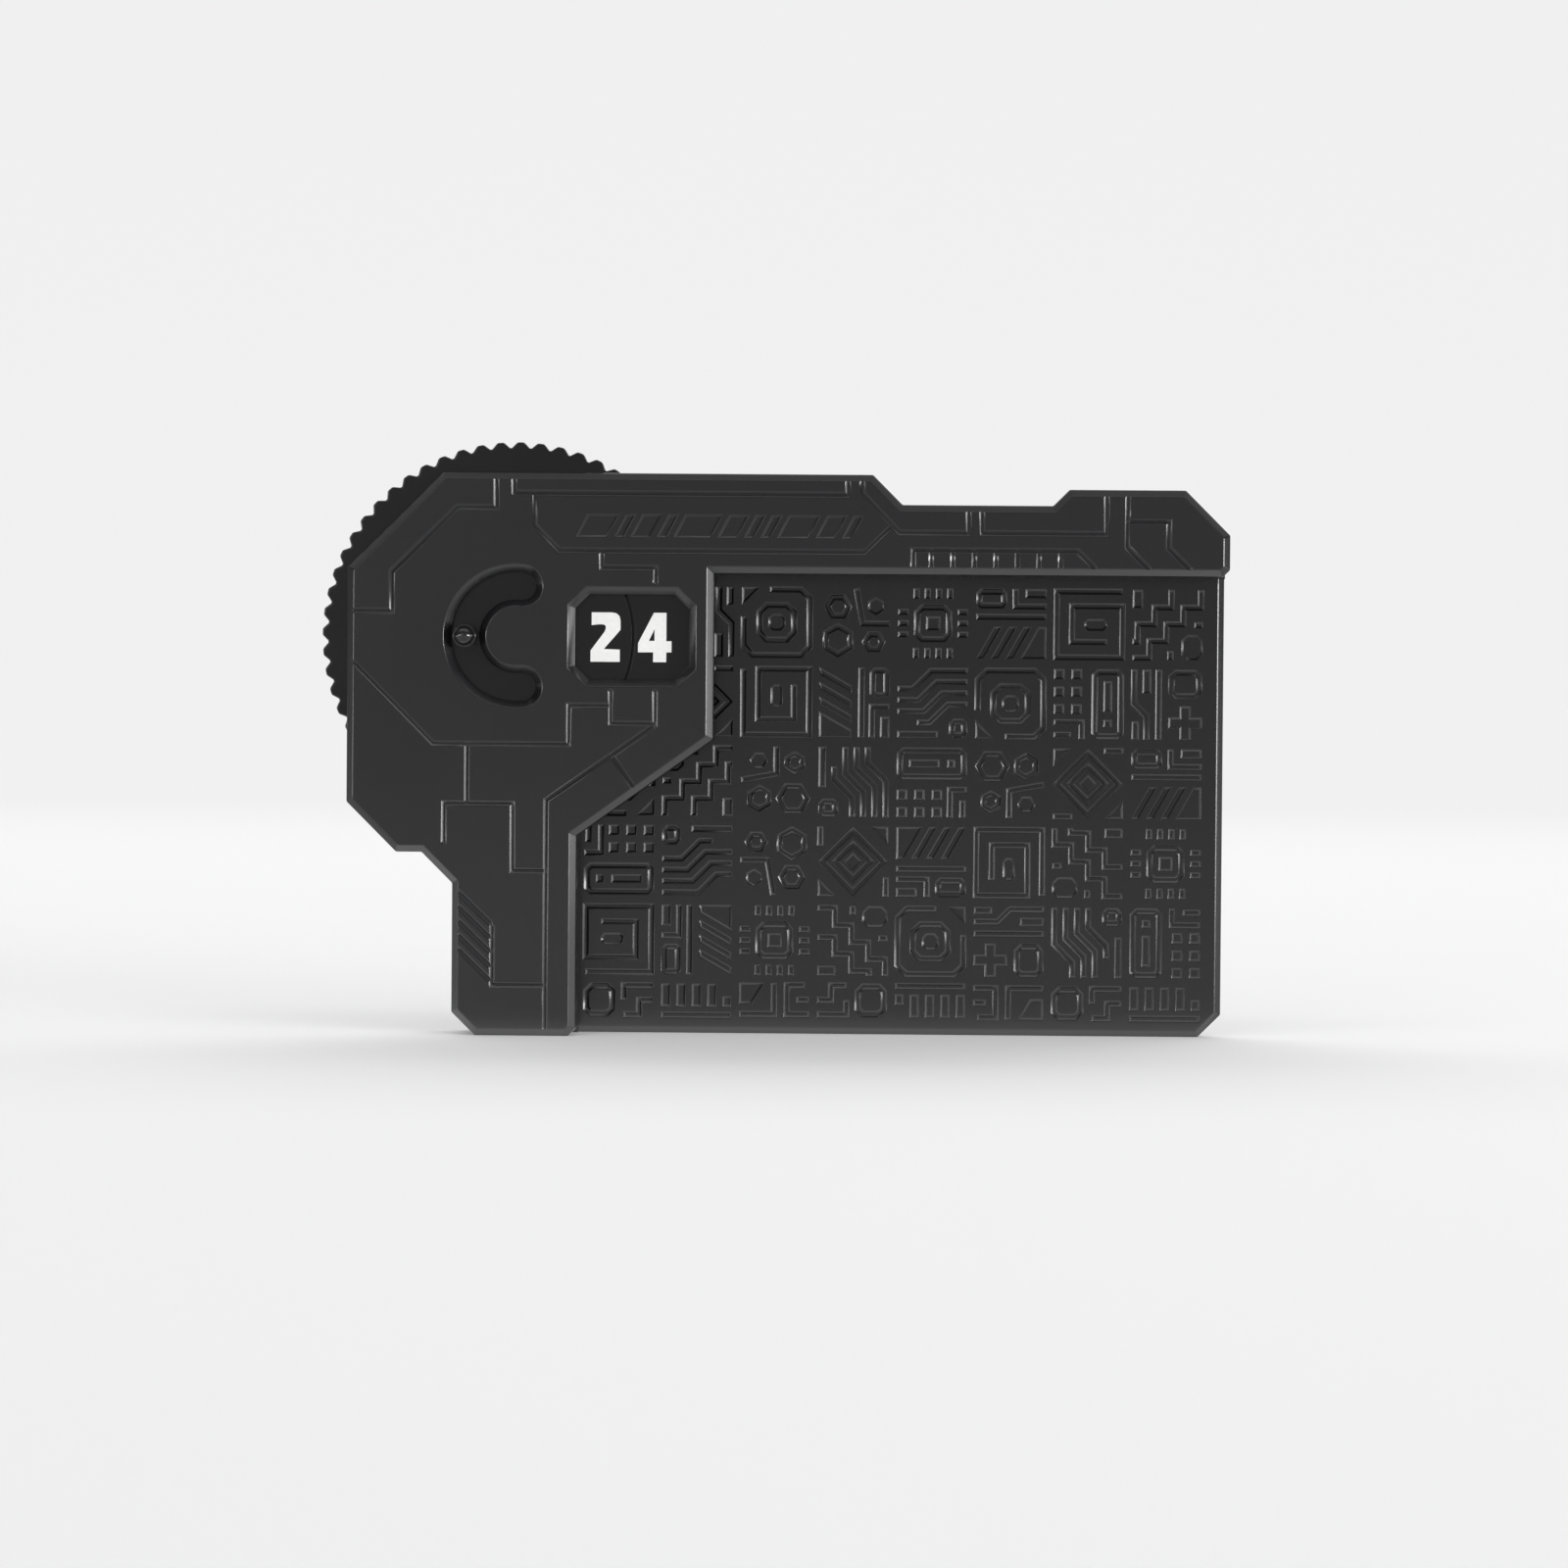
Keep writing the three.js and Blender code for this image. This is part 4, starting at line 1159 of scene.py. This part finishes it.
def moulded(name, colour, darker, rough, grain_mm, bump, shine=0.5):
    """Moulded ABS: two colours, least and most roughness, width and strength of its grain, and its shine."""
    finish, tree = start_finish(name)
    fine = grain(tree, grain_mm, detail=3)
    slow = grain(tree, FLOW_MM)
    gloss = add_node(tree, "ShaderNodeMath", {"operation": "ADD"}, {
        0: spread(tree, slow, *rough), 1: spread(tree, fine, -GRAIN_GLOSS, GRAIN_GLOSS)})
    end_finish(tree, {"IOR": ABS_IOR, "Specular IOR Level": shine}, {
        "Base Color": tones(tree, slow, colour, darker), "Roughness": gloss.outputs[0],
        "Normal": bumps(tree, fine, bump, GRAIN_HEIGHT)})
    return finish


shell_abs = moulded("black_abs_satin_moulded", "151517", "121214",
                    rough=(0.2, 0.24), grain_mm=0.3, bump=0.03)
plate_abs = moulded("black_abs_bed_moulded", "111113", "0f0f10",
                    rough=(0.2, 0.24), grain_mm=0.3, bump=0.03, shine=0.46)
# the dials' darker colour is painted shade of the window and the slot
shaded_dial_abs = moulded("black_abs_dial_painted_shade", "0a0a0b", "09090a",
                   rough=(0.19, 0.22), grain_mm=0.25, bump=0.03, shine=0.38)
carrier_abs = moulded("dark_grey_abs_moulded", "3a3b3f", "333438",
                      rough=(0.5, 0.58), grain_mm=0.4, bump=0.4)
print("plastics:", shell_abs.name, plate_abs.name, shaded_dial_abs.name, carrier_abs.name)

# %% [markdown]
# The numbers are white pad printing ink: matt, a little uneven in its cover, with pinholes that are too
# small to show. The peg is polished black plastic with very fine wiping marks. The feet are moulded
# rubber, dull and slightly pitted.

# %% Ink, peg and rubber
INK_IOR, RUBBER_IOR = 1.5, 1.52

ink, tree = start_finish("white_pad_print_ink")
uneven = grain(tree, size_mm=0.5, detail=4)
end_finish(tree, {"IOR": INK_IOR}, {
    "Base Color": tones(tree, uneven, "e5e5e4", "dededd"),
    "Roughness": spread(tree, uneven, low=0.5, high=0.62)})

polished, tree = start_finish("polished_black_plastic")
wipe = grain(tree, size_mm=0.6, detail=4)
end_finish(tree, {"IOR": ABS_IOR}, {
    "Base Color": tones(tree, wipe, "151517", "101012"),
    "Roughness": spread(tree, wipe, low=0.1, high=0.16)})

rubber, tree = start_finish("black_rubber_moulded")
pits = grain(tree, size_mm=0.25, detail=3)
end_finish(tree, {"IOR": RUBBER_IOR}, {
    "Base Color": tones(tree, pits, "191919", "121213"),
    "Roughness": spread(tree, pits, low=0.75, high=0.9),
    "Normal": bumps(tree, pits, strength=0.5, height_mm=0.03)})
print("more finishes:", ink.name, polished.name, rubber.name)

# %% [markdown]
# The screws are zinc plated steel, a little cloudy, and the springs are bright rolled strip, with fine
# lines along the rolling direction. The axle is plain turned steel and shares the screws' finish.


# %% Metals
def steel(name, colour, stained, rough, stretch=None):
    """Bare or plated steel: two colours, least and most roughness, and how its clouds are stretched."""
    finish, tree = start_finish(name)
    cloud = grain(tree, size_mm=0.5, detail=3, stretch=stretch)
    end_finish(tree, {"Metallic": 1.0}, {
        "Base Color": tones(tree, cloud, colour, stained), "Roughness": spread(tree, cloud, *rough)})
    return finish


screw_steel = steel("zinc_plated_steel", "9a9da2", "83868c", rough=(0.28, 0.42))
spring_steel = steel("rolled_spring_steel", "b4b6ba", "9fa1a6", rough=(0.22, 0.34), stretch=(0.15, 4, 1))
print("metals:", screw_steel.name, spring_steel.name)

# %% [markdown]
# ## Put every piece in its place
#
# Each piece is shaded, stood up, given its finish, tied to the body that it moves with and named, and the
# CAD nodes that it stands in for are hidden.

# %% Place the pieces
SMOOTH = math.radians(31)     # less than the 31.4 degrees between the flat faces of the window's frame


def finish_piece(piece, name, body, material, nodes=()):
    """Shades a finished drawing, brings it to its place in the pad and ties it to its body."""
    only(piece)
    bpy.ops.object.shade_smooth_by_angle(angle=SMOOTH)
    even = piece.modifiers.new("even_normals", "WEIGHTED_NORMAL")
    even.keep_sharp = True
    bpy.ops.object.modifier_apply(modifier=even.name)
    piece.scale = (MM, MM, MM)
    piece.rotation_euler = (math.pi / 2, 0, 0)
    piece.location = (AXIS_X, FACE_Y, AXIS_Z)
    bpy.ops.object.transform_apply(location=True, rotation=True, scale=True)
    piece.name = name
    piece.data.name = name
    piece.data.materials.clear()
    piece.data.materials.append(material)
    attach(piece, body)
    if nodes:
        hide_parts(*nodes)
    print(name, "triangles:", sum(len(face.vertices) - 2 for face in piece.data.polygons))


def copy_to(shape, place):
    """Copy of a shape, moved across the drawing."""
    twin = own_copy(shape)
    twin.data.transform(Matrix.Translation((*place, 0)))
    return twin


finish_piece(cover, "cover_moulding", "housing", shell_abs, ["front_cover"])
finish_piece(plate, "plate_moulding", "housing", plate_abs, ["card_plate"])
finish_piece(units, "units_disc", "units", shaded_dial_abs, ["units_dial"])
finish_piece(tens, "tens_disc", "tens", shaded_dial_abs, ["tens_dial"])
finish_piece(units_print, "units_numbers", "units", ink)
finish_piece(tens_print, "tens_numbers", "tens", ink)
finish_piece(peg, "peg_turned", "tens", polished, ["selector_peg"])
for number, place in enumerate(COVER_SCREWS, 1):
    finish_piece(copy_to(screw, place), f"plate_screw_{number}", "housing", screw_steel,
                 [f"cover_screw_{number}"])
for number, place in enumerate(FEET, 1):
    finish_piece(copy_to(foot, place), f"foot_pad_{number}", "housing", rubber,
                 [f"rubber_foot_{number}"])
bpy.data.objects.remove(screw)
bpy.data.objects.remove(foot)

# %% [markdown]
# The inner pieces keep their CAD shape, which is right for plain turned and bent parts that nobody sees,
# and only get a finish.

# %% Finishes of the inner pieces
INNER = {
    "dial_carrier": carrier_abs,
    "dial_axle": screw_steel,
    "units_detent_spring": spring_steel,
    "tens_detent_spring": spring_steel,
    "carrier_screw_1": screw_steel,
    "carrier_screw_2": screw_steel,
    "carrier_screw_3": screw_steel,
}
for name, material in INNER.items():
    for part in frame["nodes"][name].material_slots:
        part.material = material
print("inner pieces:", len(INNER))

# %% [markdown]
# ## Floor, backdrop and light
#
# The pad stands on a pale, seamless table. Near the pad the camera sees the floor as a lit surface with its
# shadows, and further back it sees it as a plain pale colour, so the background stays even. Mirror images
# of the floor in the plastic and the metal do the same. Soft lights stand in front, and a ceiling of light
# hangs above. Low, narrow boxes and cards at the sides and a strip above are there for the edges: each
# small radius and slope mirrors one of them as a thin bright line, as in the photograph.

# %% Floor and backdrop
FLOOR_SIZE = 8.0
BACK_WALL = 3.0
WALL_HEIGHT = 3.0
SWEEP = 1.5
LIT_UNTIL, PLAIN_FROM = 0.1, 1.6     # how far behind the pad the floor changes from lit to plain
LIT_SHARE, PLAIN_SHARE = 0.15, 0.97  # share of the plain colour before and behind that


def stage_finish(name, colour, plain_colour):
    """Lit surface that is seen partly as a plain pale colour, and more so far behind the pad."""
    finish, tree = start_finish(name)
    path = add_node(tree, "ShaderNodeLightPath")
    place = add_node(tree, "ShaderNodeTexCoord")
    axes = add_node(tree, "ShaderNodeSeparateXYZ", {}, {0: place.outputs["Object"]})
    share = add_node(tree, "ShaderNodeMapRange",
                     {1: LIT_UNTIL, 2: PLAIN_FROM, 3: LIT_SHARE, 4: PLAIN_SHARE}, {0: axes.outputs["Y"]})
    direct = add_node(tree, "ShaderNodeMath", {"operation": "MAXIMUM"},
                      {0: path.outputs["Is Camera Ray"], 1: path.outputs["Is Transmission Ray"]})
    seen = add_node(tree, "ShaderNodeMath", {"operation": "MAXIMUM"},
                    {0: direct.outputs[0], 1: path.outputs["Is Glossy Ray"]})
    factor = add_node(tree, "ShaderNodeMath", {"operation": "MULTIPLY"},
                      {0: seen.outputs[0], 1: share.outputs[0]})
    lit = add_node(tree, "ShaderNodeBsdfDiffuse", {"Color": linear(colour)})
    plain = add_node(tree, "ShaderNodeEmission", {"Color": linear(plain_colour)})
    blend = add_node(tree, "ShaderNodeMixShader", {}, {
        0: factor.outputs[0], 1: lit.outputs[0], 2: plain.outputs[0]})
    add_node(tree, "ShaderNodeOutputMaterial", {}, {"Surface": blend.outputs[0]})
    return finish


bpy.ops.mesh.primitive_plane_add(size=FLOOR_SIZE, location=(0, BACK_WALL - FLOOR_SIZE / 2, cad_box[0][2]))
floor = added("floor")
edit(floor)
pick(floor, "edges", lambda edge: all(vert.co.y > BACK_WALL - NEAR for vert in edge.verts))
push(WALL_HEIGHT)
pick(floor, "edges", lambda edge: all(
    vert.co.y > BACK_WALL - NEAR and vert.co.z < NEAR for vert in edge.verts))
bevel(SWEEP, segments=24)
select_all()
bpy.ops.mesh.faces_shade_smooth()
leave_edit()
floor.data.materials.append(stage_finish("pale_floor", "f9f9f9", "f1f1f1"))
print("floor faces:", len(floor.data.polygons))

# %% Lights
WORLD_LIGHT = 0.25
LIGHTS = [       # name, place, target, width, height, watts
    ("left_light", (-0.5, -1.2, 0.3), (0, 0, 0.04), 0.2, 0.3, 0.8),
    ("right_light", (0.8, -1.1, 0.3), (0, 0, 0.04), 0.2, 0.3, 0.9),
    ("left_box", (-1.0, -0.85, 0.13), (0, 0, 0.04), 0.45, 0.18, 2.7),
    ("right_box", (1.05, -0.75, 0.11), (0, 0, 0.04), 0.5, 0.21, 10.2),
    ("front_low", (0.0, -2.6, 0.42), (0, 0, 0.04), 3.5, 0.7, 1.0),
    ("front_fill", (0.0, -2.5, 1.1), (0, 0, 0.04), 4.0, 2.0, 2.5),
    ("left_card", (-0.5, -0.1, 0.02), (0, -0.05, 0.02), 0.2, 0.05, 0.14),
    ("right_card", (0.5, -0.115, 0.055), (0, -0.065, 0.05), 0.22, 0.11, 0.4),
    ("floor_card", (0.0, -0.008, 0.0001), (0, -0.008, 0.1), 0.16, 0.024, 0.012),
    ("back_ceiling", (0.0, 1.1, 1.3), (0, 1.1, 0.0), 3.2, 1.2, 22.0),
    ("ceiling", (0.0, 0.2, 1.3), (0, 0.2, 0.0), 3.2, 2.6, 8.6),
    ("top_strip", (0.0, -0.5, 1.29), (0, -0.1, 0.0), 2.0, 0.24, 2.8),
]


def soft_light(name, place, target, width, height, watts):
    """Rectangle of light that points at a target and that the camera doesn't see."""
    data = bpy.data.lights.new(name, "AREA")
    data.shape = "RECTANGLE"
    data.size = width
    data.size_y = height
    data.energy = watts
    light = bpy.data.objects.new(name, data)
    bpy.context.scene.collection.objects.link(light)
    light.visible_camera = False
    light.location = place
    light.rotation_euler = (Vector(target) - Vector(place)).to_track_quat("-Z", "Y").to_euler()


for light in LIGHTS:
    soft_light(*light)
world = bpy.data.worlds.new("studio")
bpy.context.scene.world = world
world.use_nodes = True
background = world.node_tree.nodes["Background"]
background.inputs["Color"].default_value = linear("ffffff")
background.inputs["Strength"].default_value = WORLD_LIGHT
print("lights:", [light[0] for light in LIGHTS])

# %% [markdown]
# ## Size of the CAD box
#
# The box of the CAD model is printed.

# %% Size of the CAD box
print("CAD box:", cad_box)
